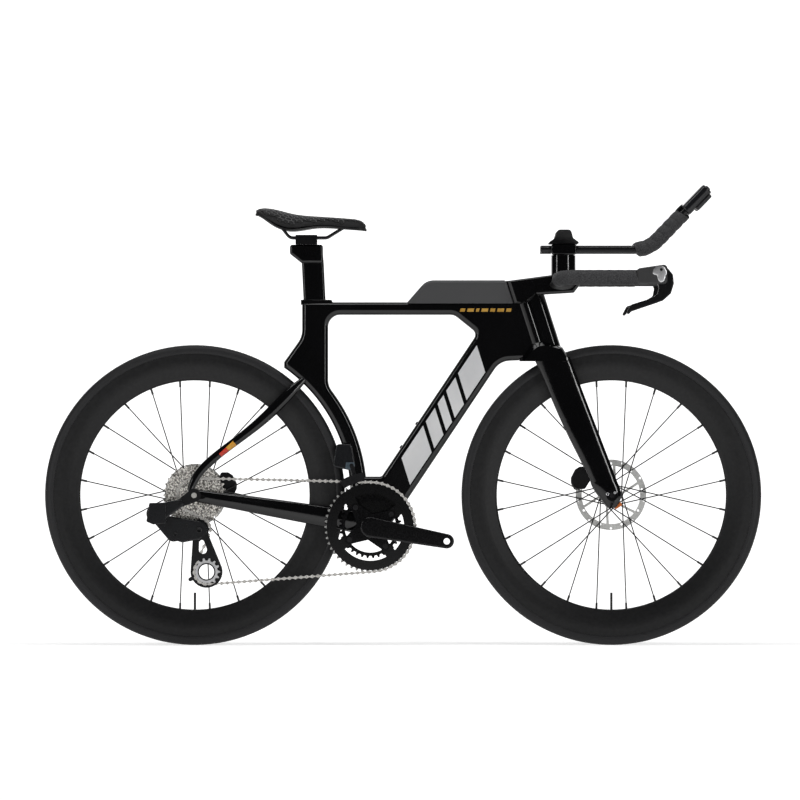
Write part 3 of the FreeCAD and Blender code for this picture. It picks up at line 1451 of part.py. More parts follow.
def arm_rests():
    """Trough-shaped cups on the extension clamp, each with a crowned pad lying in it."""
    x, z = extension_place()
    foot = float(z + S.clamp_height / 2 + S.fit_gap)
    side = -S.cup_place
    axis = Vector(x - S.cup_length, side, foot + S.cup_radius_arc)
    along = Vector(S.cup_length * 2, 0, 0)
    width = S.cup_radius_arc * 2
    shell = ring_solid(S.cup_radius_arc, S.cup_radius_arc - S.cup_wall, axis, along)
    cups = shell.common(slab(side_outline(cup_dome(0), side - width), width * 2))
    pad_outer = S.cup_radius_arc - S.cup_wall - S.fit_gap
    pad = ring_solid(pad_outer, pad_outer - S.arm_pad_thickness, axis, along)
    pad = pad.common(slab(side_outline(cup_dome(S.arm_pad_margin), side - width), width * 2))
    group("arm_cups", pair(lowest(cups)))
    return group("arm_pads", pair(lowest(pad)))


def lowest(shape):
    return min(shape.Solids, key=lambda solid: solid.CenterOfMass.z)


def shifter_frame():
    """Where the right shifter starts and the direction of its axis."""
    x, z = extension_place()
    rise = math.radians(S.extension_rise_angle)
    along = Vector(math.cos(rise), 0, math.sin(rise))
    corner = Vector(x + S.extension_corner, -S.extension_spread / 2, z)
    return corner + along * float(S.extension_slope), along


def shifters():
    """Shifter bodies on the extension tips: a round grip with a lower lobe and a well for the button."""
    start, along = shifter_frame()
    down = Vector(along.z, 0, -along.x)
    body = cylinder(S.shifter_radius, start, along * float(S.shifter_length))
    ends = [edge for edge in body.Edges if edge.Curve.TypeId == "Part::GeomCircle"]
    body = round_edges(body, S.shifter_round, ends)
    lobe_back = S.shifter_length - S.shifter_lobe_length - S.shifter_lobe_inset
    lobe_start = start + along * float(lobe_back) + down * float(S.shifter_lobe_drop)
    lobe = cylinder(S.shifter_lobe_radius, lobe_start, along * float(S.shifter_lobe_length))
    ends = [edge for edge in lobe.Edges if edge.Curve.TypeId == "Part::GeomCircle"]
    lobe = round_edges(lobe, S.shifter_round, ends)
    bore = cylinder(S.extension_radius + S.fit_gap, start - along * float(S.overrun),
                    along * float(S.shifter_overlap + S.overrun + S.fit_gap))
    well = cylinder(S.button_radius + S.run_gap, start + along * float(S.shifter_length - S.button_well),
                    along * float(S.button_well * 2))
    solid = body.fuse(lobe).cut([bore, well])
    return group("shifters", pair(solid))


def shift_button(name, side):
    """A round button in the shifter's end that presses inwards."""
    start, along = shifter_frame()
    foot = start + along * float(S.shifter_length - S.button_well + S.button_travel + S.run_gap)
    button = cylinder(S.button_radius, foot, along * float(S.button_height))
    crown = max((edge for edge in button.Edges if edge.Curve.TypeId == "Part::GeomCircle"),
                key=lambda edge: edge.CenterOfMass.dot(along))
    button = round_edges(button, S.button_round, [crown])
    return keep(feature(name, button if side < 0 else mirrored(button)))


# Seat post, saddle and storage box

def seatpost():
    """The aero post and its head under the saddle rails."""
    bottom = POST_FOOT - POST_UP * float(S.post_insert)
    column = Part.Face(post_section(0, bottom)).extrude(POST_UP * float(S.post_insert + S.post_rise))
    top = POST_TOP
    middle = SADDLE_X
    half = S.post_head_length / 2
    low = top.z - S.overrun
    corners = [(top.x - S.post_depth / 2, low), (top.x + S.post_depth / 2, low),
               (middle + half, low + S.post_head_height * HALF_SHARE, S.post_tail_radius),
               (middle + half, low + S.post_head_height, S.post_tail_radius),
               (middle - half, low + S.post_head_height, S.post_tail_radius),
               (middle - half, low + S.post_head_height * HALF_SHARE, S.post_tail_radius)]
    head = soft_slab(corners, -S.post_head_width / 2, S.post_head_width, S.post_tail_radius)
    return keep(feature("seatpost", column.fuse(head)))


def seat_clamp(frame):
    """The low collar that closes the frame round the post."""
    low = TOP_Z - S.overrun
    back = POST_FOOT.x - S.post_depth / 2 - S.overrun
    front = back + S.wedge_length
    corners = [(back, low), (front, low), (front - S.overrun, TOP_Z + S.wedge_height),
               (back, TOP_Z + S.wedge_height)]
    width = S.post_width + S.overrun
    plate = soft_slab(corners, -width / 2, width, S.wedge_round)
    sleeve = Part.Face(post_section(float(S.run_gap), POST_FOOT - POST_UP * float(S.overrun * 2)))
    sleeve = sleeve.extrude(POST_UP * float(S.overrun * 4))
    return keep(feature("seat_clamp", largest(plate.cut([frame.Shape, sleeve]))))


def rail_line():
    """The middle line of the right saddle rail."""
    z = RAIL_Z
    points = [((SADDLE_X - S.rail_back, -S.rail_spread / 2, z + S.rail_rear_rise), 0),
              ((SADDLE_X - S.rail_flat_back, -S.rail_spread / 2, z), S.rail_bend),
              ((SADDLE_X + S.rail_flat_front, -S.rail_spread / 2, z), S.rail_bend),
              ((SADDLE_X + S.rail_front, -S.rail_nose_spread / 2, z + S.rail_end_rise), 0)]
    return rounded([(Vector(*point), radius) for point, radius in points], closed=False)


def saddle_clamp():
    """The cradle under the rails and the cap over them."""
    low = POST_TOP.z - S.overrun + S.post_head_height + S.fit_gap
    split = RAIL_Z
    high = split + S.rail_radius + S.saddle_clamp_high
    middle = SADDLE_X
    half = S.saddle_clamp_length / 2
    width = S.saddle_clamp_width

    def block(bottom, top_z):
        corners = [(middle - half, bottom, S.saddle_clamp_high * HALF_SHARE),
                   (middle + half, bottom, S.saddle_clamp_high * HALF_SHARE),
                   (middle + half, top_z, S.saddle_clamp_high * HALF_SHARE),
                   (middle - half, top_z, S.saddle_clamp_high * HALF_SHARE)]
        return slab(side_outline(corners, -width / 2), width)

    grooves = pair(cylinder(S.rail_radius + S.fit_gap, Vector(middle - half * 2, -S.rail_spread / 2, split),
                            Vector(half * 4, 0, 0)))
    cradle = block(low, split - S.fit_gap).cut(grooves)
    cap = block(split + S.fit_gap, high).cut(grooves)
    bolt = cylinder(S.saddle_bolt_radius, Vector(middle, 0, split - S.rail_radius),
                    Vector(0, 0, S.rail_radius * 2))
    return keep(feature("saddle_clamp", cradle.fuse([cap, bolt])))


# Saddle stations from tail to nose: shares of the length, the half width and, for top and edge, the drop.
SADDLE_SHARES = ((0.01, 0.686, 1.0, 0.84), (0.14, 0.97, 0.935, 0.455), (0.34, 1.0, 0.67, 0.07),
                 (0.54, 0.714, 0.54, 0.21), (0.74, 0.43, 0.47, 0.2), (0.9, 0.34, 0.4, 0.13),
                 (0.98, 0.25, 0.31, 0.09), (1.008, 0.14, 0.2, 0.06))


def saddle_wire(x, half, edge_z, top_z, under_z, under_top):
    left = Vector(x, half, edge_z)
    right = Vector(x, -half, edge_z)
    low_left = Vector(x, half, under_z)
    low_right = Vector(x, -half, under_z)
    upper = Part.Arc(right, Vector(x, 0, top_z), left).toShape()
    lower = Part.Arc(low_left, Vector(x, 0, under_top), low_right).toShape()
    return Part.Wire([upper, Part.LineSegment(left, low_left).toShape(), lower,
                      Part.LineSegment(low_right, right).toShape()])


def saddle():
    """The pad with its crown and the thin shell below it, both lofted through the same stations."""
    pads = []
    shells = []
    for share, width, top, edge in SADDLE_SHARES:
        x = SADDLE_X - S.saddle_tail + S.saddle_length * share
        half = S.saddle_width / 2 * width
        edge_z = RAIL_Z + S.saddle_base + S.saddle_drop * edge
        top_z = RAIL_Z + S.saddle_base + S.saddle_drop * top
        rise = max(top_z - edge_z, S.saddle_pad_edge)
        thick = rise * PAD_DEPTH_SHARE
        pad_low = edge_z - S.saddle_pad_edge
        shell_top = pad_low - S.fit_gap
        pads.append(saddle_wire(x, half, edge_z, edge_z + rise, pad_low, pad_low + rise - thick))
        shell_half = half * SHELL_WIDTH_SHARE
        shells.append(saddle_wire(x, shell_half, shell_top, shell_top + rise - thick,
                                  shell_top - S.saddle_shell_thickness,
                                  shell_top + rise - thick - S.saddle_shell_thickness))
    pad = loft(pads)
    keep(feature("saddle_pad", pad))
    shell = keep(feature("saddle_shell", largest(loft(shells).cut(pad))))
    rail = pipe(rail_line(), S.rail_radius).cut(shell.Shape)
    return group("saddle_rails", pair(largest(rail)))


PAD_DEPTH_SHARE = 0.6
SHELL_WIDTH_SHARE = 0.96


def top_tube_box(frame):
    """The storage box behind the stem, cut round the swing of the stem."""
    foot = TOP_Z - S.box_sink
    top = TOP_Z + S.box_height
    back = BRACKET[0] + S.box_back
    front = on_steering(HEAD_HIGH).x - S.box_front
    corners = [(back, foot), (front, foot), (front - S.box_front_slope, top, S.box_round / 2),
               (back + S.box_rear_slope, top, S.box_rear_radius)]
    body = slab(side_outline(corners, -S.box_width / 2), S.box_width)
    upper = [edge for edge in edges_across(body, -S.box_width / 2) + edges_across(body, S.box_width / 2)
             if edge.BoundBox.ZMax > TOP_Z + S.box_round]
    body = round_edges(body, S.box_round, upper)
    swing = cylinder(S.stem_back + S.run_gap * 2, on_steering(HEAD_LOW),
                     STEER_UP * float(S.stem_front_reach * 2))
    return keep(feature("top_tube_box", largest(body.cut([frame.Shape, swing]))))


# Chain

GUIDE = (REAR[0] + float(S.guide_ahead), REAR[1] - float(S.guide_drop))
TENSION = (REAR[0] + float(S.tension_ahead), REAR[1] - float(S.tension_drop))


def chain_stations():
    """The wheels the chain runs round, in order: middle, radius and turn, with clockwise as 1."""
    return [(REAR, pitch_radius(CHAIN_SPROCKET_TEETH), 1), (BRACKET, pitch_radius(LARGE_RING_TEETH), 1),
            (TENSION, pitch_radius(TENSION_TEETH), 1), (GUIDE, pitch_radius(GUIDE_TEETH), -1)]


def chain_path():
    """The runs of the chain: straight ones between the wheels and arcs round them, each with its length."""
    stations = chain_stations()
    spans = []
    for index, (middle, radius, turn) in enumerate(stations):
        other, other_radius, other_turn = stations[(index + 1) % len(stations)]
        change = other_turn * other_radius - turn * radius
        gap = (other[0] - middle[0], other[1] - middle[1])
        heading = math.atan2(gap[1], gap[0]) - math.asin(-change / math.hypot(*gap))
        left = math.degrees(heading) + 90
        spans.append((polar(middle, turn * radius, left), polar(other, other_turn * other_radius, left), left))
    runs = []
    for index, (start, end, left) in enumerate(spans):
        middle, radius, turn = stations[(index + 1) % len(stations)]
        next_left = spans[(index + 1) % len(spans)][2]
        sweep = turn * ((turn * (left - next_left)) % FULL_TURN)
        first = left if turn > 0 else left + FULL_TURN / 2
        runs.append(("line", math.dist(start, end), start, end))
        runs.append(("arc", math.radians(abs(sweep)) * radius, middle, radius, first, -sweep))
    return runs


def along_chain(runs, distance):
    """The place on the chain at a distance, and the number of the run it lies on."""
    for number, run in enumerate(runs):
        if distance <= run[1]:
            break
        distance -= run[1]
    share = min(distance / run[1], 1)
    if run[0] == "line":
        point = tuple(low + (high - low) * share for low, high in zip(run[2], run[3]))
        return point, number
    return polar(run[2], run[3], run[4] + run[5] * share), number


def link_plates(start, end, inner_face):
    """The two plates of one chain link."""
    along = Vector(end[0] - start[0], 0, end[1] - start[1])
    toward = Vector(along).normalize()
    up = Vector(-toward.z, 0, toward.x) * float(S.plate_height / 2)
    reach = toward * float(S.plate_height / 2)
    plates = []
    for y in (-S.chain_plane - inner_face - S.plate_thickness, -S.chain_plane + inner_face):
        first = Vector(start[0], y, start[1])
        last = Vector(end[0], y, end[1])
        points = [first - reach, first - up, last - up, last + reach, last + up, first + up]
        plates.append(slab(Part.makePolygon(points + points[:1]), S.plate_thickness))
    return plates


def roller(point):
    """The roller on a pin of a free run of the chain."""
    low = -S.chain_plane - S.plate_inner_gap / 2 + S.fit_gap
    ring = [polar(point, S.roller_radius, index * FULL_TURN / ROLLER_SIDES) for index in range(ROLLER_SIDES)]
    points = [Vector(x, low, z) for x, z in ring]
    return slab(Part.makePolygon(points + points[:1]), S.plate_inner_gap - S.fit_gap * 2)


ROLLER_SIDES = 6
# Links before and after a pin that must lie on the same straight run for it to get a roller.
ROLLER_STEPS = (-4, -3, -2, -1, 1, 2, 3, 4)
# Which sub-part each run of the chain belongs to, in the order of the path.
CHAIN_NODES = ("chain_upper_run", "chain_wraps", "chain_lower_run", "chain_cage_run",
               "chain_cage_run", "chain_wraps", "chain_wraps", "chain_wraps")


def chain():
    """The chain, link by link, with rollers where no wheel's teeth fill the links."""
    runs = chain_path()
    length = sum(run[1] for run in runs)
    count = 2 * round(length / S.chain_pitch / 2)
    pins = [along_chain(runs, length * index / count) for index in range(count)]
    pieces = {name: [] for name in CHAIN_NODES}
    inner_face = S.plate_inner_gap / 2
    outer_face = inner_face + S.plate_thickness + S.plate_gap
    for index, (point, number) in enumerate(pins):
        other, other_number = pins[(index + 1) % count]
        name = CHAIN_NODES[number]
        if name == "chain_cage_run" and CHAIN_NODES[other_number] == "chain_wraps":
            continue
        pieces[name] += link_plates(point, other, inner_face if index % 2 else outer_face)
        near = {pins[(index + step) % count][1] for step in ROLLER_STEPS}
        if runs[number][0] == "line" and near == {number}:
            pieces[name].append(roller(point))
    for name, shapes in pieces.items():
        group(name, shapes)


# Derailleurs and brakes

def derailleur_hanger():
    """The hanger plate outside the right dropout."""
    eye = hanger_eye()
    low = -hanger_face() - S.hanger_thickness
    plate = slab(link_outline(REAR, S.dropout_radius, eye, S.hanger_eye_radius, low), S.hanger_thickness)
    hole = cylinder(S.axle_radius + S.fit_gap, Vector(REAR[0], low, REAR[1]), Vector(0, S.hanger_thickness, 0))
    return keep(feature("derailleur_hanger", plate.cut(hole)))


def hanger_eye():
    return (REAR[0] - float(S.hanger_back), REAR[1] - float(S.hanger_drop))


def hanger_face():
    """The outer face of the dropouts, with a gap, as a distance from the middle plane."""
    return float(S.dropout_space / 2 + S.stay_width + S.run_gap + S.fit_gap)


def rear_derailleur():
    """The fixed motor bracket and the link with the knuckle that carries the cage."""
    motor = (REAR[0] - float(S.motor_back), REAR[1] - float(S.motor_drop))
    face = hanger_face() + S.hanger_thickness + S.fit_gap
    low = -face - S.motor_thickness
    outline = link_outline(hanger_eye(), S.hanger_eye_radius, motor, S.motor_radius, low)
    block = slab(outline, S.motor_thickness)
    block = round_edges(block, S.mech_edge_round, edges_across(block, low))
    battery = soft_slab([(motor[0] + S.motor_radius * x, motor[1] + S.motor_radius * z, S.mech_edge_round)
                         for x, z in BATTERY_SHARES], low - S.mech_edge_round, S.motor_thickness,
                        S.mech_edge_round * HALF_SHARE)
    keep(feature("rear_derailleur_bracket", block.fuse(battery)))
    elbow = (REAR[0] - float(S.link_back), REAR[1] - float(S.link_drop))
    link_low = -face + S.fit_gap
    link = slab(link_outline(motor, S.link_radius, elbow, S.link_radius, link_low), S.link_thickness)
    knuckle_face = -cage_face() - S.run_gap
    knuckle_low = knuckle_face - S.knuckle_thickness
    bridge = slab(link_outline(elbow, S.link_radius, GUIDE, S.link_radius, link_low), knuckle_low - link_low)
    corners = [(REAR[0] - S.motor_back * back, REAR[1] - S.link_drop * drop) for back, drop in BODY_SHARES]
    housing = soft_slab([(x, z, S.link_radius * HALF_SHARE) for x, z in corners], link_low,
                        knuckle_low - link_low, S.mech_edge_round)
    knuckle = cylinder(S.knuckle_radius, Vector(GUIDE[0], knuckle_low, GUIDE[1]),
                       Vector(0, S.knuckle_thickness, 0))
    bore = cylinder(S.cage_pivot_radius + S.shaft_gap, Vector(GUIDE[0], knuckle_face, GUIDE[1]),
                    Vector(0, -S.cage_pivot_length - S.run_gap, 0))
    return keep(feature("rear_derailleur_body", link.fuse([bridge, housing, knuckle]).cut(bore)))


# The battery's corners round the motor as shares of its radius, and the corners of the housing of the links
# as shares of how far the motor lies back from the axle and the elbow below it.
BATTERY_SHARES = ((-1.0, -0.8), (-0.3, -1.1), (1.0, -1.0), (1.0, 1.15), (-0.7, 1.1))
BODY_SHARES = ((0.85, 0.79), (0.735, 1.1), (0.31, 1.22), (-0.2, 1.13), (-0.2, 0.68), (0.74, 0.52))


def cage_face():
    """The outer face of the cage's outer plate, as a distance from the middle plane."""
    return float(S.chain_plane + S.cage_gap / 2 + S.cage_plate)


def derailleur_cage():
    """The two cage plates with the guide pin, the tension pulley's hollow collar and the pivot of the cage."""
    outer_low = -cage_face()
    inner_low = -S.chain_plane + S.cage_gap / 2
    depth = inner_low + S.cage_plate - outer_low
    lug_root = polar(TENSION, S.cage_tension_radius, CAGE_POST_ANGLE)
    post = polar(TENSION, S.cage_tension_radius + S.cage_lug_radius, CAGE_POST_ANGLE)
    plates = []
    for low in (outer_low, inner_low):
        outline = link_outline(GUIDE, S.cage_guide_radius, TENSION, S.cage_tension_radius, low)
        lug = link_outline(lug_root, S.cage_lug_radius, post, S.cage_lug_radius, low)
        plate = slab(outline, S.cage_plate).fuse(slab(lug, S.cage_plate))
        plates.append(plate.cut(cage_opening(low)))
    through = Vector(0, S.cage_plate, 0)
    outer = plates[0].cut(cylinder(S.cage_window_radius, Vector(TENSION[0], outer_low, TENSION[1]), through))
    hollow = S.tension_bore - S.tension_collar
    inner = plates[1].cut(cylinder(hollow, Vector(TENSION[0], inner_low, TENSION[1]), through))
    collar = ring_solid(S.tension_bore - S.shaft_gap, hollow,
                        Vector(TENSION[0], outer_low + S.cage_plate, TENSION[1]),
                        Vector(0, depth - S.cage_plate, 0))
    across = Vector(0, depth, 0)
    guide_pin = cylinder(S.pulley_bore - S.shaft_gap, Vector(GUIDE[0], outer_low, GUIDE[1]), across)
    post_pin = cylinder(S.cage_pin_radius, Vector(post[0], outer_low, post[1]), across)
    pivot = cylinder(S.cage_pivot_radius, Vector(GUIDE[0], outer_low - S.cage_pivot_length, GUIDE[1]),
                     Vector(0, S.cage_pivot_length, 0))
    return keep(feature("derailleur_cage", outer.fuse([inner, collar, guide_pin, post_pin, pivot])))


# Where along the cage the opening between its two legs starts and ends, and its radii there, as shares.
OPENING_SHARES = ((0.31, 0.42), (0.48, 0.65))
CAGE_POST_ANGLE = 205


def cage_opening(low):
    """The opening between the two legs of a cage plate."""
    ends = []
    for along, radius in OPENING_SHARES:
        ends.append(tuple(first + (last - first) * along for first, last in zip(GUIDE, TENSION)))
        ends.append(S.cage_guide_radius * radius)
    return slab(link_outline(*ends, low), S.cage_plate)


def pulley(name, middle, teeth, bore):
    """A toothed pulley with a boss that runs on the cage."""
    solid = toothed_plate(middle, teeth, -S.chain_plane, bore)
    low = -S.chain_plane - S.pulley_boss / 2
    boss = ring_solid(bore + S.pulley_wall, bore, Vector(middle[0], low, middle[1]),
                      Vector(0, S.pulley_boss, 0))
    return keep(feature(name, solid.fuse(boss)))


def front_derailleur():
    """The front derailleur's body on the seat tube and the cage that shifts sideways under it."""
    front = BRACKET[0] - S.mech_front
    back = BRACKET[0] - S.mech_back
    low = BRACKET[1] + S.mech_low
    high = BRACKET[1] + S.mech_high
    corners = [(back, low + S.mech_round, S.mech_round), (front - S.mech_round, low, S.mech_round),
               (front, low + S.mech_round, S.mech_round), (front - S.mech_round, high, S.mech_round),
               (back + S.mech_round, high, S.mech_round)]
    body = soft_slab(corners, -S.mech_outer, S.mech_outer - S.mech_inner, S.mech_edge_round)
    keep(feature("front_derailleur_body", body))
    plates = []
    for y in (-S.chain_plane - S.mech_cage_gap / 2 - S.mech_plate, -S.chain_plane + S.mech_cage_gap / 2):
        start = Vector(BRACKET[0], y, BRACKET[1])
        plates.append(arc_plate(start, S.mech_plate_inner, S.mech_plate_outer, S.mech_plate, S.mech_rear_angle))
    low_y = -S.chain_plane - S.mech_cage_gap / 2 - S.mech_plate
    bridge = arc_plate(Vector(BRACKET[0], low_y, BRACKET[1]), S.mech_plate_outer - S.mech_plate,
                       S.mech_plate_outer, S.mech_cage_gap + S.mech_plate * 2, S.mech_bridge_angle)
    tab_foot = polar(BRACKET, S.mech_plate_outer, MECH_TAB_ANGLE)
    tab_top = polar(BRACKET, S.mech_low + S.mech_round * 2, MECH_TAB_ANGLE)
    tab_low = -S.mech_outer - S.run_gap - S.mech_plate
    tab = slab(link_outline(tab_foot, S.mech_round / 2, tab_top, S.mech_round / 2, tab_low), S.mech_plate)
    return keep(feature("front_derailleur_cage", plates[0].fuse([plates[1], bridge, tab])))


MECH_TAB_ANGLE = 107


def arc_plate(start, inner, outer, thickness, rear_angle):
    """A plate shaped like part of a ring, from the cage's front angle to a rear angle."""
    front = math.radians(S.mech_front_angle)
    back = math.radians(rear_angle)
    middle = (front + back) / 2

    def at(radius, angle):
        return start + Vector(math.cos(angle), 0, math.sin(angle)) * float(radius)

    edges = [Part.Arc(at(inner, front), at(inner, middle), at(inner, back)).toShape(),
             Part.LineSegment(at(inner, back), at(outer, back)).toShape(),
             Part.Arc(at(outer, back), at(outer, middle), at(outer, front)).toShape(),
             Part.LineSegment(at(outer, front), at(inner, front)).toShape()]
    return slab(Part.Wire(edges), thickness)


def caliper(name, axle, rotor_radius, rotor_place, x, z, carriers):
    """A disc brake caliper: a housing over the rotor's edge, seated on its carrier, and two pads."""
    facing = math.copysign(S.caliper_length / 2, axle[0] - x)
    rise = S.caliper_height / 2
    corners = [(x + facing * along, z + rise * up, S.caliper_round) for along, up in CALIPER_SHARES]
    block = soft_slab(corners, rotor_place - S.caliper_half, S.caliper_half * 2, S.caliper_edge_round)
    slot = cylinder(rotor_radius + S.overrun / 2, Vector(axle[0], rotor_place - S.caliper_slot / 2, axle[1]),
                    Vector(0, S.caliper_slot, 0))
    shapes = [largest(block.cut([item.Shape for item in carriers] + [slot]))]
    angle = math.degrees(math.atan2(z - axle[1], x - axle[0]))
    pad_x, pad_z = polar(axle, rotor_radius - S.rotor_track / 2, angle)
    gap = S.rotor_thickness / 2 + S.run_gap
    for y in (rotor_place - gap - S.pad_thickness, rotor_place + gap):
        shapes.append(cylinder(S.pad_radius, Vector(pad_x, y, pad_z), Vector(0, S.pad_thickness, 0)))
    return group(name, shapes)


# The corners of a caliper as shares of half its length, towards the axle, and of half its height.
CALIPER_SHARES = ((-0.95, -0.6), (-0.58, -1.3), (0.58, -1.2), (1.3, -0.15), (0.75, 1.0), (0.0, 1.0),
                  (-0.5, 0.71), (-0.95, -0.1))


def item_named(name):
    return [item for item in SUB_PARTS if item.Label == name][0]


def build_all():
    frame = frame_main()
    stays(frame)
    frame_bearings()
    through_axle("rear_thru_axle", REAR_X, S.dropout_space / 2 + S.stay_width + S.run_gap + S.hanger_thickness,
                 S.dropout_space / 2 + S.stay_width + S.run_gap + S.fit_gap)
    derailleur_hanger()
    rear_derailleur()
    front_derailleur()
    top_tube_box(frame)
    seat_clamp(frame)
    seatpost()
    saddle_clamp()
    saddle()
    wheels()
    chainring("large_chainring", LARGE_RING_TEETH, S.chain_plane, S.large_ring_band, 0)
    chainring("small_chainring", SMALL_RING_TEETH, S.chain_plane - S.ring_spacing, S.small_ring_band,
              S.bolt_head + S.fit_gap)
    chainring_bolts()
    cranks()
    cassette()
    chain()
    derailleur_cage()
    pulley("guide_pulley", GUIDE, GUIDE_TEETH, S.pulley_bore)
    pulley("tension_pulley", TENSION, TENSION_TEETH, S.tension_bore)
    fork_item = fork()
    through_axle("front_thru_axle", FRONT_X, S.front_space / 2 + S.leg_thickness,
                 S.front_space / 2 + S.leg_thickness + S.fit_gap)
    bar = base_bar()
    stem_item = stem(bar, fork_item)
    bar_hoods()
    brake_lever("right_brake_lever", -1)
    brake_lever("left_brake_lever", 1)
    extension_riser(stem_item)
    extensions()
    bar_tape()
    arm_rests()
    shifters()
    shift_button("right_shift_button", -1)
    shift_button("left_shift_button", 1)
    caliper("front_brake_caliper", FRONT, S.front_rotor_radius, S.front_rotor_place,
            FRONT[0] - S.front_caliper_back, FRONT[1] + S.front_caliper_rise, [fork_item])
    caliper("rear_brake_caliper", REAR, S.rear_rotor_radius, S.rear_rotor_place,
            REAR[0] + S.rear_caliper_ahead, REAR[1] + S.rear_caliper_rise,
            [item_named("chain_stays"), item_named("seat_stays")])


build_all()
doc.recompute()
for item in doc.Objects:
    if "Invalid" in item.State or "Error" in item.State:
        raise SystemExit(f"{item.Label} failed: {item.State}")
os.makedirs("parts", exist_ok=True)
for item in SUB_PARTS:
    if item.Shape.isNull() or not item.Shape.isValid():
        raise SystemExit(f"{item.Label} has no valid shape")
    item.Shape.exportStep(f"parts/{item.Label}.step")
    print(item.Label, len(item.Shape.Solids), round(item.Shape.Volume))
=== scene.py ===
# %% [markdown]
# # A time trial bicycle in a white studio
# The measured model comes in as a fixed frame, in metres, with the drive side towards -Y. This lesson
# dresses it: it gives every piece a finish, remakes the soft pieces as padding, winds tape on the bars and
# adds the small fittings that a rider would look for.

# %% Loading the measured model
import math

import bpy
from mathutils import Matrix, Vector


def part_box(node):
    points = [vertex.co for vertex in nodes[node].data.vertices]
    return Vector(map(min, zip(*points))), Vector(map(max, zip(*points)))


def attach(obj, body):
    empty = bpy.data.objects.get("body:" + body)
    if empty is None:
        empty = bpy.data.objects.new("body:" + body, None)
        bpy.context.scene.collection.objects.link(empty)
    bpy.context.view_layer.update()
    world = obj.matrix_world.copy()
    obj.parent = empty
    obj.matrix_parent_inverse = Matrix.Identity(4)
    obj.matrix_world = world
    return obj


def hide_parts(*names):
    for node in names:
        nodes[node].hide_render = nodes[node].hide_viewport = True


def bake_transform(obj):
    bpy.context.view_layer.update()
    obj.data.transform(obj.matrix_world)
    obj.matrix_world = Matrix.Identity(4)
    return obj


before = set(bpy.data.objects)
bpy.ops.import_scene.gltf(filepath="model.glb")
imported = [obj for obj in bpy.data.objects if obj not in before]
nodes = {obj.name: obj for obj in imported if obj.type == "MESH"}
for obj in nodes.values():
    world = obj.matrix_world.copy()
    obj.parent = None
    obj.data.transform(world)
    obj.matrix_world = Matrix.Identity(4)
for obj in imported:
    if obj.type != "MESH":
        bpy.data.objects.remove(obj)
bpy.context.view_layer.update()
print("pieces in the measured model:", len(nodes))

# %% [markdown]
# ## The camera
# The photograph is a catalogue view from the drive side with hardly any perspective. A short lens close by
# would turn the wheels into ovals, so a long lens stands far away and gives the same flat look. The picture
# is as wide as 1.808 m at the middle plane of the bicycle.

# %% Placing the camera
LENS = 400
SENSOR = 36
PICTURE_WIDTH = 1.808
VIEW_X = -0.0071
VIEW_Z = 0.5537
camera_distance = PICTURE_WIDTH * LENS / SENSOR


def deselect():
    """Leave edit mode and deselect everything, because an operator acts on all that is selected."""
    if bpy.context.object and bpy.context.object.mode != "OBJECT":
        bpy.ops.object.mode_set(mode="OBJECT")
    bpy.ops.object.select_all(action="DESELECT")


deselect()
bpy.ops.object.camera_add(location=(VIEW_X, -camera_distance, VIEW_Z), rotation=(math.pi / 2, 0, 0))
camera = bpy.context.object
camera.data.lens = LENS
camera.data.sensor_width = SENSOR
bpy.context.scene.camera = camera
bpy.context.scene.view_settings.view_transform = "Standard"
print("camera stands", round(camera_distance, 2), "m away")

# %% [markdown]
# ## The studio
# A sheet of white paper lies under the bicycle and curves up behind it. A floor and a wall would meet in a
# line, so one edge of a plane is extruded round a quarter circle instead, and there is no corner to see.

# %% The paper sweep
SWEEP_WIDTH = 14.0
SWEEP_FRONT = -10.0
SWEEP_BACK = 2.2
SWEEP_HEIGHT = 5.0
SWEEP_STEPS = 12
SWEEP_RADIUS = 1.2


def freeze():
    """Put the active piece's place, turn and scale into its mesh."""
    bpy.ops.object.transform_apply(location=True, rotation=True, scale=True)


def pick(thing, kind, chosen):
    """Open the active piece for editing, with its chosen points, edges or faces selected."""
    bpy.ops.object.mode_set(mode="EDIT")
    bpy.ops.mesh.select_all(action="DESELECT")
    bpy.ops.object.mode_set(mode="OBJECT")
    items = {"VERT": thing.data.vertices, "EDGE": thing.data.edges, "FACE": thing.data.polygons}
    for item in items[kind]:
        item.select = chosen(item)
    bpy.ops.object.mode_set(mode="EDIT")
    bpy.ops.mesh.select_mode(type=kind)


def paper_sweep():
    deselect()
    bpy.ops.mesh.primitive_plane_add(size=1, location=(0, 0, 0))
    sweep = bpy.context.object
    sweep.name = "paper_sweep"
    sweep.scale = (SWEEP_WIDTH, SWEEP_BACK - SWEEP_FRONT, 1)
    sweep.location.y = (SWEEP_BACK + SWEEP_FRONT) / 2
    freeze()

    def at_back(edge):
        return all(sweep.data.vertices[index].co.y > 0 for index in edge.vertices)

    pick(sweep, "EDGE", at_back)
    step = math.pi / 2 / SWEEP_STEPS
    length = 2 * SWEEP_RADIUS * math.sin(step / 2)
    for number in range(SWEEP_STEPS):
        angle = step * (number + 0.5)
        move = (0, length * math.cos(angle), length * math.sin(angle))
        bpy.ops.mesh.extrude_edges_move(TRANSFORM_OT_translate={"value": move})
    bpy.ops.mesh.extrude_edges_move(TRANSFORM_OT_translate={"value": (0, 0, SWEEP_HEIGHT)})
    bpy.ops.object.mode_set(mode="OBJECT")
    bpy.ops.object.shade_smooth()
    return sweep


sweep = paper_sweep()
print("paper sweep has", len(sweep.data.polygons), "faces")

# %% [markdown]
# ### Paper
# In a catalogue picture the paper is pure white, and only the shadow under the tyres is left on it. More
# light would wash out the bicycle as well. So the paper glows by itself, for the camera and in reflections
# only, and it glows less near the tyres, where the shadow has to show. It can be looked through from its
# back, so that the bicycle shows from every side.

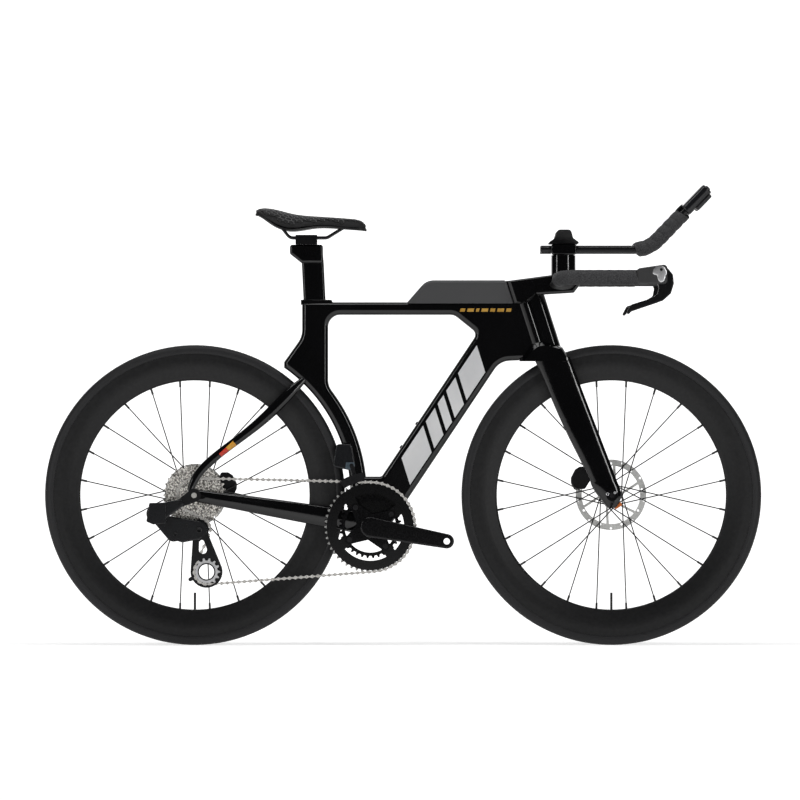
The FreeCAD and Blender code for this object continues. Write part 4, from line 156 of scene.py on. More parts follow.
# %% White paper
PAPER_TONE = (0.86, 0.86, 0.86, 1)
SHADOW_NEAR = 0.1
SHADOW_FAR = 0.9
SHADOW_GLOW = 0.6


def operation_node(tree, operation, kind="ShaderNodeMath"):
    step = tree.nodes.new(kind)
    step.operation = operation
    return step


def glow_by_distance(tree):
    """The level of the glow: low next to the bicycle's middle plane, and 1 far from it."""
    place = tree.nodes.new("ShaderNodeTexCoord")
    parts = tree.nodes.new("ShaderNodeSeparateXYZ")
    away = operation_node(tree, "ABSOLUTE")
    level = tree.nodes.new("ShaderNodeMapRange")
    level.inputs["From Min"].default_value = SHADOW_NEAR
    level.inputs["From Max"].default_value = SHADOW_FAR
    level.inputs["To Min"].default_value = SHADOW_GLOW
    level.inputs["To Max"].default_value = 1
    tree.links.new(place.outputs["Object"], parts.inputs["Vector"])
    tree.links.new(parts.outputs["Y"], away.inputs[0])
    tree.links.new(away.outputs[0], level.inputs["Value"])
    return level.outputs["Result"]


def rays_that_show(tree):
    """1 for rays of the camera, of reflections and through clear pieces, and 0 for all other light."""
    rays = tree.nodes.new("ShaderNodeLightPath")
    seen = operation_node(tree, "MAXIMUM")
    also = operation_node(tree, "MAXIMUM")
    tree.links.new(rays.outputs["Is Camera Ray"], seen.inputs[0])
    tree.links.new(rays.outputs["Is Glossy Ray"], seen.inputs[1])
    tree.links.new(seen.outputs[0], also.inputs[0])
    tree.links.new(rays.outputs["Is Transmission Ray"], also.inputs[1])
    return also.outputs[0]


def white_paper():
    material = bpy.data.materials.new("white_paper")
    material.use_nodes = True
    tree = material.node_tree
    tree.nodes.clear()
    matte = tree.nodes.new("ShaderNodeBsdfDiffuse")
    matte.inputs["Color"].default_value = PAPER_TONE
    glow = tree.nodes.new("ShaderNodeEmission")
    strength = operation_node(tree, "MULTIPLY")
    tree.links.new(rays_that_show(tree), strength.inputs[0])
    tree.links.new(glow_by_distance(tree), strength.inputs[1])
    tree.links.new(strength.outputs[0], glow.inputs["Strength"])
    both = tree.nodes.new("ShaderNodeAddShader")
    tree.links.new(matte.outputs[0], both.inputs[0])
    tree.links.new(glow.outputs[0], both.inputs[1])
    side = tree.nodes.new("ShaderNodeNewGeometry")
    clear = tree.nodes.new("ShaderNodeBsdfTransparent")
    front = tree.nodes.new("ShaderNodeMixShader")
    tree.links.new(side.outputs["Backfacing"], front.inputs["Fac"])
    tree.links.new(both.outputs[0], front.inputs[1])
    tree.links.new(clear.outputs[0], front.inputs[2])
    output = tree.nodes.new("ShaderNodeOutputMaterial")
    tree.links.new(front.outputs[0], output.inputs["Surface"])
    return material


sweep.data.materials.append(white_paper())
print("the paper glows from", SHADOW_GLOW, "at the tyres to 1 away from them")

# %% [markdown]
# ## The lamps
# Gloss black shows the lamps and little else, and small lamps would leave spots. A long softbox overhead
# draws the bright lines along the tubes, and two upright ones in front, one to either side, light the two
# ends of the bicycle. A dim world keeps the flat sides dark. The camera alone sees the world as white.

# %% Hanging the softboxes
# Each row has a name, a place, the point that the lamp is aimed at, its width, height and power.
LAMPS = (
    ("overhead_softbox", (0.0, -0.6, 3.2), (0.0, 0.0, 0.5), 3.2, 0.5, 40),
    ("front_softbox", (2.6, -3.2, 1.35), (0.2, 0.0, 0.7), 0.4, 2.4, 42),
    ("rear_softbox", (-2.8, -2.6, 1.35), (-0.3, 0.0, 0.7), 0.4, 2.4, 36),
)


def softbox(name, place, aim, width, height, power):
    deselect()
    bpy.ops.object.light_add(type="AREA", location=place)
    lamp = bpy.context.object
    lamp.name = name
    lamp.data.shape = "RECTANGLE"
    lamp.data.size = width
    lamp.data.size_y = height
    lamp.data.energy = power
    lamp.rotation_euler = (Vector(aim) - Vector(place)).to_track_quat("-Z", "Y").to_euler()


for lamp_values in LAMPS:
    softbox(*lamp_values)
print("lamps:", len(LAMPS))

# %% A dim world
WORLD_STRENGTH = 0.05


def studio_air():
    world = bpy.data.worlds.new("studio_air")
    world.use_nodes = True
    tree = world.node_tree
    background = tree.nodes["Background"]
    background.inputs["Color"].default_value = (1, 1, 1, 1)
    rays = tree.nodes.new("ShaderNodeLightPath")
    level = tree.nodes.new("ShaderNodeMapRange")
    level.inputs["To Min"].default_value = WORLD_STRENGTH
    level.inputs["To Max"].default_value = 1
    tree.links.new(rays.outputs["Is Camera Ray"], level.inputs["Value"])
    tree.links.new(level.outputs["Result"], background.inputs["Strength"])
    return world


bpy.context.scene.world = studio_air()
print("strength of the world:", WORLD_STRENGTH)

# %% [markdown]
# ## Finishes
# A real surface is never one flat value. Each finish starts from noise in the piece's own space, which
# shifts its colour between two tones, varies its roughness and roughens its surface a little. Pictures
# would need a map for every piece, and noise needs none. One function makes the shared part, and each
# finish adds what is its own.

# %% A finish that starts from noise
NOISE_DETAIL = 5
RELIEF_DEPTH = 0.0004
finishes = {}


def noise_finish(name, dark, light, grain, rough, bump, stretch=(1, 1, 1), metal=0.0, specular=0.5,
                 shares=(0.3, 0.7)):
    """A finish that goes from its dark to its light tone between two shares of the noise."""
    material = bpy.data.materials.new(name)
    material.use_nodes = True
    tree = material.node_tree
    shader = tree.nodes["Principled BSDF"]
    shader.inputs["Metallic"].default_value = metal
    shader.inputs["Specular IOR Level"].default_value = specular
    place = tree.nodes.new("ShaderNodeTexCoord")
    spread = tree.nodes.new("ShaderNodeMapping")
    spread.inputs["Scale"].default_value = stretch
    noise = tree.nodes.new("ShaderNodeTexNoise")
    noise.inputs["Scale"].default_value = grain
    noise.inputs["Detail"].default_value = NOISE_DETAIL
    tones = tree.nodes.new("ShaderNodeValToRGB")
    tones.name = "tones"
    for element, share, tone in zip(tones.color_ramp.elements, shares, (dark, light)):
        element.position = share
        element.color = (*tone, 1)
    gloss = tree.nodes.new("ShaderNodeMapRange")
    gloss.inputs["To Min"].default_value = rough[0]
    gloss.inputs["To Max"].default_value = rough[1]
    relief = tree.nodes.new("ShaderNodeBump")
    relief.inputs["Strength"].default_value = bump
    relief.inputs["Distance"].default_value = RELIEF_DEPTH
    tree.links.new(place.outputs["Object"], spread.inputs["Vector"])
    tree.links.new(spread.outputs["Vector"], noise.inputs["Vector"])
    tree.links.new(noise.outputs["Fac"], tones.inputs["Fac"])
    tree.links.new(tones.outputs["Color"], shader.inputs["Base Color"])
    tree.links.new(noise.outputs["Fac"], gloss.inputs["Value"])
    tree.links.new(gloss.outputs["Result"], shader.inputs["Roughness"])
    tree.links.new(noise.outputs["Fac"], relief.inputs["Height"])
    tree.links.new(relief.outputs["Normal"], shader.inputs["Normal"])
    finishes[name] = material
    return material


def dress(make, *names):
    """Make a finish and give it to measured pieces."""
    material = make()
    for name in names:
        nodes[name].data.materials.clear()
        nodes[name].data.materials.append(material)
    print("pieces in " + make.__name__ + ":", len(names))


# %% [markdown]
# ### Lacquer
# The frame, fork and stem are carbon fibre under deep gloss black lacquer. A mirror would be too bright and
# a plain black too flat: the colour is almost nothing, and the look is all in a smooth clear coat with a
# hint of waviness.

# %% Gloss black lacquer
COAT_WEIGHT = 0.25
COAT_ROUGHNESS = 0.03


def gloss_lacquer():
    material = noise_finish("gloss_lacquer", dark=(0.0012, 0.0012, 0.0015), light=(0.0025, 0.0025, 0.003),
                            grain=9, rough=(0.08, 0.13), bump=0.01, specular=0.25)
    shader = material.node_tree.nodes["Principled BSDF"]
    shader.inputs["Coat Weight"].default_value = COAT_WEIGHT
    shader.inputs["Coat Roughness"].default_value = COAT_ROUGHNESS
    return material


dress(gloss_lacquer, "frame_main", "seat_stays", "chain_stays", "seat_clamp", "seatpost", "fork", "stem",
      "extension_riser")

# %% [markdown]
# ### Matte carbon
# The rims, the arm cups, the saddle's shell and the base bar have no gloss coat: the fibre lies in bands
# under a dull skin, which is dullest on the bar. Noise squeezed along one direction looks like the streaks
# of such a layer.

# %% Matte carbon
CARBON_GRAIN = 130
CARBON_STRETCH = (1, 3, 1)


def matte_carbon():
    return noise_finish("matte_carbon", dark=(0.005, 0.005, 0.0055), light=(0.0095, 0.0095, 0.01),
                        grain=CARBON_GRAIN, rough=(0.38, 0.46), bump=0.12, stretch=CARBON_STRETCH,
                        specular=0.25)


def bar_carbon():
    return noise_finish("bar_carbon", dark=(0.002, 0.002, 0.0024), light=(0.005, 0.005, 0.0055),
                        grain=CARBON_GRAIN, rough=(0.6, 0.75), bump=0.1, stretch=CARBON_STRETCH, specular=0.1)


dress(matte_carbon, "front_rim", "rear_rim", "arm_cups", "saddle_shell")
dress(bar_carbon, "base_bar")

# %% [markdown]
# ### Rubber, tape, plastic and foam
# These are close in tone, so grain and roughness tell them apart: tyre rubber is dull and even, tape is
# coarse, the box is moulded with a fine spark-eroded grain, the derailleurs and shifters are smooth, and
# foam is soft and dry.

# %% Rubber and tape
def tyre_rubber():
    return noise_finish("tyre_rubber", dark=(0.008, 0.008, 0.009), light=(0.016, 0.016, 0.017), grain=420,
                        rough=(0.5, 0.65), bump=0.3, specular=0.3)


def grip_tape():
    return noise_finish("grip_tape", dark=(0.012, 0.012, 0.013), light=(0.075, 0.075, 0.078), grain=420,
                        rough=(0.6, 0.8), bump=0.7, specular=0.3)


def hood_rubber():
    return noise_finish("hood_rubber", dark=(0.012, 0.012, 0.013), light=(0.02, 0.02, 0.021), grain=700,
                        rough=(0.45, 0.6), bump=0.3)


dress(tyre_rubber, "front_tyre", "rear_tyre")
dress(grip_tape, "bar_tape")
dress(hood_rubber, "brake_hoods")


# %% Plastic and foam
def box_plastic():
    return noise_finish("box_plastic", dark=(0.038, 0.038, 0.04), light=(0.054, 0.054, 0.056), grain=1500,
                        rough=(0.45, 0.58), bump=0.3)


def mech_plastic():
    return noise_finish("mech_plastic", dark=(0.006, 0.006, 0.007), light=(0.013, 0.014, 0.016), grain=1100,
                        rough=(0.1, 0.16), bump=0.06, specular=0.3)


def pad_foam():
    return noise_finish("pad_foam", dark=(0.003, 0.003, 0.0035), light=(0.009, 0.009, 0.0095), grain=1300,
                        rough=(0.6, 0.78), bump=0.5, specular=0.3)


dress(box_plastic, "top_tube_box")
dress(mech_plastic, "front_derailleur_body", "rear_derailleur_bracket", "rear_derailleur_body", "shifters",
      "left_shift_button", "right_shift_button", "guide_pulley")
dress(pad_foam, "saddle_pad", "arm_pads")

# %% [markdown]
# ### Metals
# Chain, sprockets and rotors are bright steel with fine scratches, one pulley is silver, and most small
# fittings are black anodised aluminium. Scratches could be painted one by one, and noise stretched along
# one axis gives them everywhere at once.

# %% Steel and silver
def bright_steel():
    return noise_finish("bright_steel", dark=(0.4, 0.39, 0.37), light=(0.62, 0.61, 0.58), grain=300,
                        rough=(0.26, 0.4), bump=0.12, stretch=(1, 1, 6), metal=1.0)


def sprocket_steel():
    return noise_finish("sprocket_steel", dark=(0.12, 0.11, 0.1), light=(1.0, 0.97, 0.91), grain=230,
                        rough=(0.2, 0.34), bump=0.6, metal=0.55, shares=(0.4, 0.58))


def rotor_steel():
    return noise_finish("rotor_steel", dark=(0.5, 0.5, 0.49), light=(0.74, 0.74, 0.72), grain=500,
                        rough=(0.3, 0.42), bump=0.12, stretch=(1, 1, 4), metal=0.6)


def spoke_steel():
    return noise_finish("spoke_steel", dark=(0.01, 0.01, 0.01), light=(0.03, 0.03, 0.03), grain=600,
                        rough=(0.35, 0.5), bump=0.1)


def silver_alloy():
    return noise_finish("silver_alloy", dark=(0.5, 0.5, 0.51), light=(0.66, 0.66, 0.67), grain=350,
                        rough=(0.25, 0.36), bump=0.08, metal=1.0)


dress(bright_steel, "chain_upper_run", "chain_wraps", "chain_lower_run", "chain_cage_run", "rear_thru_axle")
dress(sprocket_steel, "cassette_sprockets")
dress(rotor_steel, "front_rotor", "rear_rotor")
dress(spoke_steel, "front_spokes", "rear_spokes")
dress(silver_alloy, "tension_pulley")


# %% Black metals
def black_anodised():
    return noise_finish("black_anodised", dark=(0.008, 0.008, 0.009), light=(0.014, 0.014, 0.015), grain=800,
                        rough=(0.14, 0.22), bump=0.06, metal=0.2, specular=0.25)


def crank_alloy():
    return noise_finish("crank_alloy", dark=(0.003, 0.003, 0.0035), light=(0.007, 0.007, 0.0075), grain=240,
                        rough=(0.05, 0.09), bump=0.02, specular=0.22)


dress(black_anodised, "derailleur_hanger", "saddle_clamp", "front_brake_caliper", "rear_brake_caliper",
      "front_hub", "rear_hub", "extensions", "frame_bearings", "freehub_body", "derailleur_cage",
      "front_derailleur_cage", "saddle_rails", "left_brake_lever", "right_brake_lever", "front_thru_axle",
      "front_valve", "rear_valve", "chainring_bolts")
dress(crank_alloy, "right_crank", "left_crank_arm", "small_chainring")

# %% [markdown]
# ### The large chainring
# The ring is black, and its teeth are painted bright: partly the silver of their tips, partly a painted
# highlight along the ring's edge. Two materials would need the ring's mesh cut in two, so one material turns
# from black to bright by the distance from the crank's axis.

# %% A black ring with bright teeth
CRANK_X, CRANK_Z = -0.0739, 0.2674
TOOTH_ROOT = 0.0985
RING_BLACK = (0.004, 0.004, 0.0045, 1)


def ring_alloy():
    material = noise_finish("ring_alloy", dark=(0.3, 0.3, 0.29), light=(0.6, 0.6, 0.58), grain=240,
                            rough=(0.08, 0.14), bump=0.02, metal=0.4)
    tree = material.node_tree
    place = tree.nodes.new("ShaderNodeTexCoord")
    reach = operation_node(tree, "MULTIPLY_ADD", "ShaderNodeVectorMath")
    reach.inputs[1].default_value = (1, 0, 1)
    reach.inputs[2].default_value = (-CRANK_X, 0, -CRANK_Z)
    length = operation_node(tree, "LENGTH", "ShaderNodeVectorMath")
    # Past the tooth root the bright tones are painted on: the silver of the tips and a painted highlight.
    edge = operation_node(tree, "GREATER_THAN")
    edge.inputs[1].default_value = TOOTH_ROOT
    paint = tree.nodes.new("ShaderNodeMix")
    paint.data_type = "RGBA"
    paint.inputs["A"].default_value = RING_BLACK
    tree.links.new(place.outputs["Object"], reach.inputs[0])
    tree.links.new(reach.outputs["Vector"], length.inputs[0])
    tree.links.new(length.outputs["Value"], edge.inputs[0])
    tree.links.new(edge.outputs[0], paint.inputs["Factor"])
    tree.links.new(tree.nodes["tones"].outputs["Color"], paint.inputs["B"])
    tree.links.new(paint.outputs["Result"], tree.nodes["Principled BSDF"].inputs["Base Color"])
    return material


dress(ring_alloy, "large_chainring")

# %% [markdown]
# ## Tools for the new pieces
# Every new piece ends with its origin at the world's origin, so that its place is in its mesh. A piece is
# then tied to the body that it moves with and gets its finish. A piece that is worked out of a measured one
# starts from a welded copy, because the measured mesh is loose triangles and stays as it is.

# %% Small tools
WELD = 0.00001
SMOOTH_ANGLE = math.radians(40)


def active(thing):
    deselect()
    thing.select_set(True)
    bpy.context.view_layer.objects.active = thing


def settle(thing, name, body, finish):
    """Freeze the place into the mesh, name the piece, finish it and tie it to a body."""
    active(thing)
    freeze()
    thing.name = name
    thing.data.name = name
    thing.data.materials.clear()
    thing.data.materials.append(finishes[finish])
    if body:
        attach(thing, body)
    return thing


def apply_all(thing):
    active(thing)
    for modifier in list(thing.modifiers):
        bpy.ops.object.modifier_apply(modifier=modifier.name)


def copy_of(node):
    """A welded copy of a measured piece, to be worked on."""
    copy = bpy.data.objects.new(node + "_copy", nodes[node].data.copy())
    bpy.context.collection.objects.link(copy)
    active(copy)
    bpy.ops.object.mode_set(mode="EDIT")
    bpy.ops.mesh.select_all(action="SELECT")
    bpy.ops.mesh.remove_doubles(threshold=WELD)
    bpy.ops.mesh.normals_make_consistent(inside=False)
    bpy.ops.object.mode_set(mode="OBJECT")
    return copy


def joined(things):
    active(things[0])
    for thing in things[1:]:
        thing.select_set(True)
    bpy.ops.object.join()
    return bpy.context.object


# %% [markdown]
# ## Padding
# A saddle pad and arm pads are foam under a skin. Bevelled edges would look hard and moulded. So a copy of
# the measured solid is rebuilt as an even mesh, blown up a little as cloth, and held to a millimetre or so
# of travel: its edges go soft while its size stays.

# %% Blowing up a pad
PAD_VOXEL = 0.004
PAD_FRAMES = 20
PAD_PRESSURE = 4.0
PAD_SMOOTHING = 4
PAD_LEVELS = 1
SADDLE_TRAVEL = 0.0015
ARM_TRAVEL = 0.001


def blow_up(pad, travel):
    """Inflate the pad as cloth, and hold each of its points to its travel."""
    starts = [vertex.co.copy() for vertex in pad.data.vertices]
    cloth = pad.modifiers.new("Cloth", "CLOTH")
    cloth.settings.use_pressure = True
    cloth.settings.uniform_pressure_force = PAD_PRESSURE
    cloth.settings.effector_weights.gravity = 0
    cloth.point_cache.frame_start = 1
    cloth.point_cache.frame_end = PAD_FRAMES
    for number in range(1, PAD_FRAMES + 1):
        bpy.context.scene.frame_set(number)
    apply_all(pad)
    bpy.context.scene.frame_set(1)
    for vertex, start in zip(pad.data.vertices, starts):
        move = vertex.co - start
        if move.length > travel:
            vertex.co = start + move * (travel / move.length)


def soft_pad(node, name, body, travel):
    pad = copy_of(node)
    pad.data.remesh_voxel_size = PAD_VOXEL
    bpy.ops.object.voxel_remesh()
    blow_up(pad, travel)
    smooth = pad.modifiers.new("Smooth", "SMOOTH")
    smooth.iterations = PAD_SMOOTHING
    finer = pad.modifiers.new("Subdivision", "SUBSURF")
    finer.levels = PAD_LEVELS
    finer.render_levels = PAD_LEVELS
    apply_all(pad)
    bpy.ops.object.shade_smooth()
    settle(pad, name, body, "pad_foam")
    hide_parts(node)
    print(name, "has", len(pad.data.polygons), "faces")
    return pad


saddle_cushion = soft_pad("saddle_pad", "saddle_cushion", "seat", SADDLE_TRAVEL)
soft_pad("arm_pads", "arm_cushions", "steering", ARM_TRAVEL)

# %% [markdown]
# ## The saddle's lattice
# The top of the saddle is a printed honeycomb. A bump in the material would vanish at the saddle's edge, so
# the bars are real: one hexagon is copied into a sheet, the sheet is dropped on the cushion, what misses it
# is deleted, and the edges become bars.

# %% A sheet of hexagons
CELL_SIDES = 6
CELL_RADIUS = 0.0072
CELL_WELD_SHARE = 0.05
SHEET_RISE = 0.01
SADDLE_LOW, SADDLE_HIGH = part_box("saddle_pad")


def repeat(thing, move, count):
    copies = thing.modifiers.new("Repeat", "ARRAY")
    copies.use_relative_offset = False
    copies.use_constant_offset = True
    copies.constant_offset_displace = move
    copies.count = count


def honeycomb_sheet():
    deselect()
    bpy.ops.mesh.primitive_circle_add(vertices=CELL_SIDES, radius=CELL_RADIUS, fill_type="NGON")
    sheet = bpy.context.object
    across = CELL_RADIUS * math.sqrt(3)
    row = CELL_RADIUS * 3 / 2
    repeat(sheet, (across, 0, 0), math.ceil((SADDLE_HIGH.x - SADDLE_LOW.x) / across))
    repeat(sheet, (across / 2, row, 0), 2)
    repeat(sheet, (0, row * 2, 0), math.ceil((SADDLE_HIGH.y - SADDLE_LOW.y) / (row * 2)))
    apply_all(sheet)
    bpy.ops.object.mode_set(mode="EDIT")
    bpy.ops.mesh.select_all(action="SELECT")
    bpy.ops.mesh.remove_doubles(threshold=CELL_RADIUS * CELL_WELD_SHARE)
    bpy.ops.object.mode_set(mode="OBJECT")
    sheet.location = (SADDLE_LOW.x, SADDLE_LOW.y, SADDLE_HIGH.z + SHEET_RISE)
    freeze()
    return sheet


honeycomb = honeycomb_sheet()
print("the sheet has", len(honeycomb.data.polygons), "hexagons")

# %% Dropping the sheet on the cushion
BAR_THICKNESS = 0.0028
BAR_LIFT_SHARE = 0.1
LEAST_UPRIGHT = 0.08


def lattice_skin():
    return noise_finish("lattice_skin", dark=(0.05, 0.05, 0.052), light=(0.1, 0.1, 0.102), grain=900,
                        rough=(0.3, 0.42), bump=0.2)


def saddle_lattice(sheet):
    down = Vector((0, 0, -1))
    missed = []
    for vertex in sheet.data.vertices:
        hit, place, normal, _ = saddle_cushion.ray_cast(vertex.co, down)
        missed.append(not hit or normal.z < LEAST_UPRIGHT)
        if hit:
            vertex.co = place + normal * (BAR_THICKNESS * BAR_LIFT_SHARE)
    pick(sheet, "VERT", lambda vertex: missed[vertex.index])
    bpy.ops.mesh.delete(type="VERT")
    bpy.ops.object.mode_set(mode="OBJECT")
    bars = sheet.modifiers.new("Bars", "WIREFRAME")
    bars.thickness = BAR_THICKNESS
    bars.use_even_offset = False
    apply_all(sheet)
    return settle(sheet, "saddle_lattice", "seat", "lattice_skin")


lattice_skin()
lattice = saddle_lattice(honeycomb)
print("lattice:", len(lattice.data.polygons), "faces")

# %% [markdown]
# ## Bar tape
# Tape is wound on, so its surface steps with every turn. Rings side by side would not run on into each
# other as tape does. So the section of one turn is screwed into a long straight winding, given a thickness,
# and bent along the line of the bar.

# %% The lines of the bars
BEND_STEPS = 14
# Start, corner and end of each line on the left side, and the radius of its bend.
HORN = ((0.35054, 0.1299, 0.8229), (0.35054, 0.19, 0.82854), (0.541, 0.19, 0.82854), 0.044)
EXTENSION = ((0.5191, 0.05, 0.89304), (0.55314, 0.05, 0.89304), (0.6412, 0.05, 0.98422), 0.075)


def bar_line(start, corner, end, radius):
    """Points along two straight runs with a round bend at the corner."""
    start, corner, end = Vector(start), Vector(corner), Vector(end)
    into = (corner - start).normalized()
    out = (end - corner).normalized()
    turn = into.angle(out)
    cut = radius * math.tan(turn / 2)
    middle = corner + (out - into).normalized() * (radius / math.cos(turn / 2))
    first = corner - into * cut - middle
    axis = into.cross(out).normalized()
    points = [start]
    for step in range(BEND_STEPS + 1):
        points.append(middle + Matrix.Rotation(turn * step / BEND_STEPS, 3, axis) @ first)
    points.append(end)
    return points


def on_side(line, side):
    """The line of a bar on the left, or its mirror image on the right."""
    *places, radius = line
    return bar_line(*((x, y * side, z) for x, y, z in places), radius)


def length_of(points):
    return sum((after - before).length for before, after in zip(points, points[1:]))


for word, line in (("horn", HORN), ("extension", EXTENSION)):
    print(word, "is", round(length_of(on_side(line, 1)), 3), "m long")

# %% The section of one turn
TAPE_STEP = 0.021
TAPE_LAP = 1.25
TAPE_SKIN = 0.0016
RISE_SHARE = 0.2
RISE_HEIGHT_SHARE = 0.75
CROWN_SHARE = 0.55
EDGE_SHARE = 0.94
EDGE_DROP = 0.0003
END_DROP = 0.0012


def turn_section(inner, outer):
    """One turn of the tape in section: it rises, crowns and ends over the start of the next turn."""
    low = inner + TAPE_SKIN
    lap = TAPE_STEP * TAPE_LAP
    return [Vector((0, 0, low)),
            Vector((TAPE_STEP * RISE_SHARE, 0, low + (outer - low) * RISE_HEIGHT_SHARE)),
            Vector((lap * CROWN_SHARE, 0, outer)),
            Vector((lap * EDGE_SHARE, 0, outer - EDGE_DROP)),
            Vector((lap, 0, outer - END_DROP))]


def drawn_line(points):
    """A line drawn as by hand: a plane is merged into one point, which is extruded from place to place."""
    deselect()
    bpy.ops.mesh.primitive_plane_add(size=1)
    line = bpy.context.object
    bpy.ops.object.mode_set(mode="EDIT")
    bpy.ops.mesh.select_mode(type="VERT")
    bpy.ops.mesh.select_all(action="SELECT")
    bpy.ops.mesh.merge(type="CENTER")
    bpy.ops.transform.translate(value=points[0])
    for before, after in zip(points, points[1:]):
        bpy.ops.mesh.extrude_vertices_move(TRANSFORM_OT_translate={"value": after - before})
    bpy.ops.object.mode_set(mode="OBJECT")
    return line


# %% Winding the tape
TAPE_SIDES = 28
HORN_RADII = (0.0122, 0.0162)
EXTENSION_RADII = (0.0092, 0.0166)


def path_curve(points):
    data = bpy.data.curves.new("bar_path", "CURVE")
    data.dimensions = "3D"
    spline = data.splines.new("POLY")
    spline.points.add(len(points) - 1)
    for item, point in zip(spline.points, points):
        item.co = (*point, 1)
    path = bpy.data.objects.new("bar_path", data)
    bpy.context.collection.objects.link(path)
    return path


def wound_tape(points, inner, outer):
    """A straight winding along X, bent along the line."""
    length = length_of(points)
    strip = drawn_line(turn_section(inner, outer))
    screw = strip.modifiers.new("Screw", "SCREW")
    screw.axis = "X"
    screw.screw_offset = TAPE_STEP
    screw.iterations = max(1, int(length / TAPE_STEP - TAPE_LAP))
    screw.steps = TAPE_SIDES
    screw.render_steps = TAPE_SIDES
    skin = strip.modifiers.new("Skin", "SOLIDIFY")
    skin.thickness = TAPE_SKIN
    skin.offset = 0
    apply_all(strip)
    strip.scale.x = length / max(vertex.co.x for vertex in strip.data.vertices)
    freeze()
    path = path_curve(points)
    bend = strip.modifiers.new("Bend", "CURVE")
    bend.object = path
    bend.deform_axis = "POS_X"
    apply_all(strip)
    bpy.ops.object.shade_smooth_by_angle(angle=SMOOTH_ANGLE)
    bpy.data.objects.remove(path)
    return strip


windings = []
for side in (-1, 1):
    for line, radii in ((HORN, HORN_RADII), (EXTENSION, EXTENSION_RADII)):
        windings.append(wound_tape(on_side(line, side), *radii))
bar_wrap = settle(joined(windings), "bar_wrap", "steering", "grip_tape")
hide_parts("bar_tape")
print("bar tape:", len(bar_wrap.data.polygons), "faces")

# %% [markdown]
# ## Chain links
# The measured chain has straight-sided plates, and real plates are waisted like a figure of eight. New
# links would have to be laid along the chain's path again. So a copy of the chain gets extra points on its
# long edges, and these are drawn in towards the middle of each plate.

# %% Points to draw in
PITCH = 0.0127
PITCH_SLACK_SHARE = 0.04
FLAT_ANGLE = math.radians(1)
WAIST_CUTS = 3


def split_long_edges(chain):
    """Put new points on the plates' long edges, and return how many points there were before."""
    bpy.ops.object.mode_set(mode="EDIT")
    bpy.ops.mesh.select_all(action="SELECT")
    bpy.ops.mesh.dissolve_limited(angle_limit=FLAT_ANGLE)
    bpy.ops.object.mode_set(mode="OBJECT")
    before = len(chain.data.vertices)

    def is_long(edge):
        first, last = (chain.data.vertices[index].co for index in edge.vertices)
        return abs((first - last).length - PITCH) < PITCH * PITCH_SLACK_SHARE

    pick(chain, "EDGE", is_long)
    bpy.ops.mesh.subdivide(number_cuts=WAIST_CUTS)
    bpy.ops.object.mode_set(mode="OBJECT")
    return before


def islands_of(mesh):
    """Lists of the vertex numbers that hang together."""
    near = [[] for vertex in mesh.vertices]
    for edge in mesh.edges:
        first, last = edge.vertices
        near[first].append(last)
        near[last].append(first)
    seen = [False] * len(near)
    islands = []
    for number in range(len(near)):
        if seen[number]:
            continue
        island = [number]
        seen[number] = True
        for item in island:
            for other in near[item]:
                if not seen[other]:
                    seen[other] = True
                    island.append(other)
        islands.append(island)
    return islands


# %% Drawing in the waists
WAIST = 0.3
WAIST_POWER = 0.7


def chain_steel():
    return noise_finish("chain_steel", dark=(0.3, 0.29, 0.28), light=(0.8, 0.78, 0.74), grain=420,
                        rough=(0.28, 0.42), bump=0.2, metal=1.0)


def draw_in(chain, island, before):
    """Draw one plate's new points towards its long axis, most of all halfway along it."""
    points = [chain.data.vertices[number].co for number in island]
    middle = sum(points, Vector()) / len(points)
    far = max(points, key=lambda point: Vector((point.x - middle.x, 0, point.z - middle.z)).length)
    along = Vector((far.x - middle.x, 0, far.z - middle.z)).normalized()
    for number in island:
        if number < before:
            continue
        vertex = chain.data.vertices[number]
        offset = vertex.co - middle
        offset.y = 0
        run = offset.dot(along)
        aside = offset - along * run
        nearness = max(0, 1 - abs(run) / (PITCH / 2)) ** WAIST_POWER
        vertex.co += aside * ((WAIST - 1) * nearness)


def waisted_chain(node, name, body):
    chain = copy_of(node)
    before = split_long_edges(chain)
    for island in islands_of(chain.data):
        draw_in(chain, island, before)
    settle(chain, name, body, "chain_steel")
    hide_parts(node)
    print(name, "has", len(chain.data.polygons), "faces")
    return chain


chain_steel()
waisted_chain("chain_upper_run", "upper_chain", "frame")
waisted_chain("chain_wraps", "ring_chain", "frame")
waisted_chain("chain_cage_run", "cage_chain", "cage")
lower_chain = waisted_chain("chain_lower_run", "lower_chain", None)
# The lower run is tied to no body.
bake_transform(lower_chain)

# %% [markdown]
# ## Bladed spokes
# The spokes of such wheels are bladed, and they read as firm dark lines. A larger scale would move them
# apart as well. So a copy of the measured spokes is pushed out along its normals by half a millimetre.

# %% Fuller spokes
BLADE_GROWTH = 0.0005


def bladed_spokes(end):
    spokes = copy_of(end + "_spokes")
    grow = spokes.modifiers.new("Grow", "DISPLACE")
    grow.strength = BLADE_GROWTH
    grow.mid_level = 0
    apply_all(spokes)
    bpy.ops.object.shade_smooth_by_angle(angle=SMOOTH_ANGLE)
    settle(spokes, end + "_blades", end + "_wheel", "spoke_steel")
    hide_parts(end + "_spokes")
    print(end, "spokes:", len(spokes.data.polygons), "faces")


for end in ("front", "rear"):
    bladed_spokes(end)

# %% [markdown]
# ## Graphics
# Plain bars, dashes and blocks of colour are painted on the frame and the stays. A painted material would
# need a map that fits the tubes. So each mark is a thin plate, pressed on to the surface so that it follows
# the curve below it, and what misses the surface is deleted.

# %% Pressing a plate on a surface
PLATE_CUTS_ALONG, PLATE_CUTS_UP = 14, 10
PLATE_START = 0.3
MISSED_SHARE = 0.9
PRESS_GAP = 0.00015
PLATE_SKIN = 0.0002


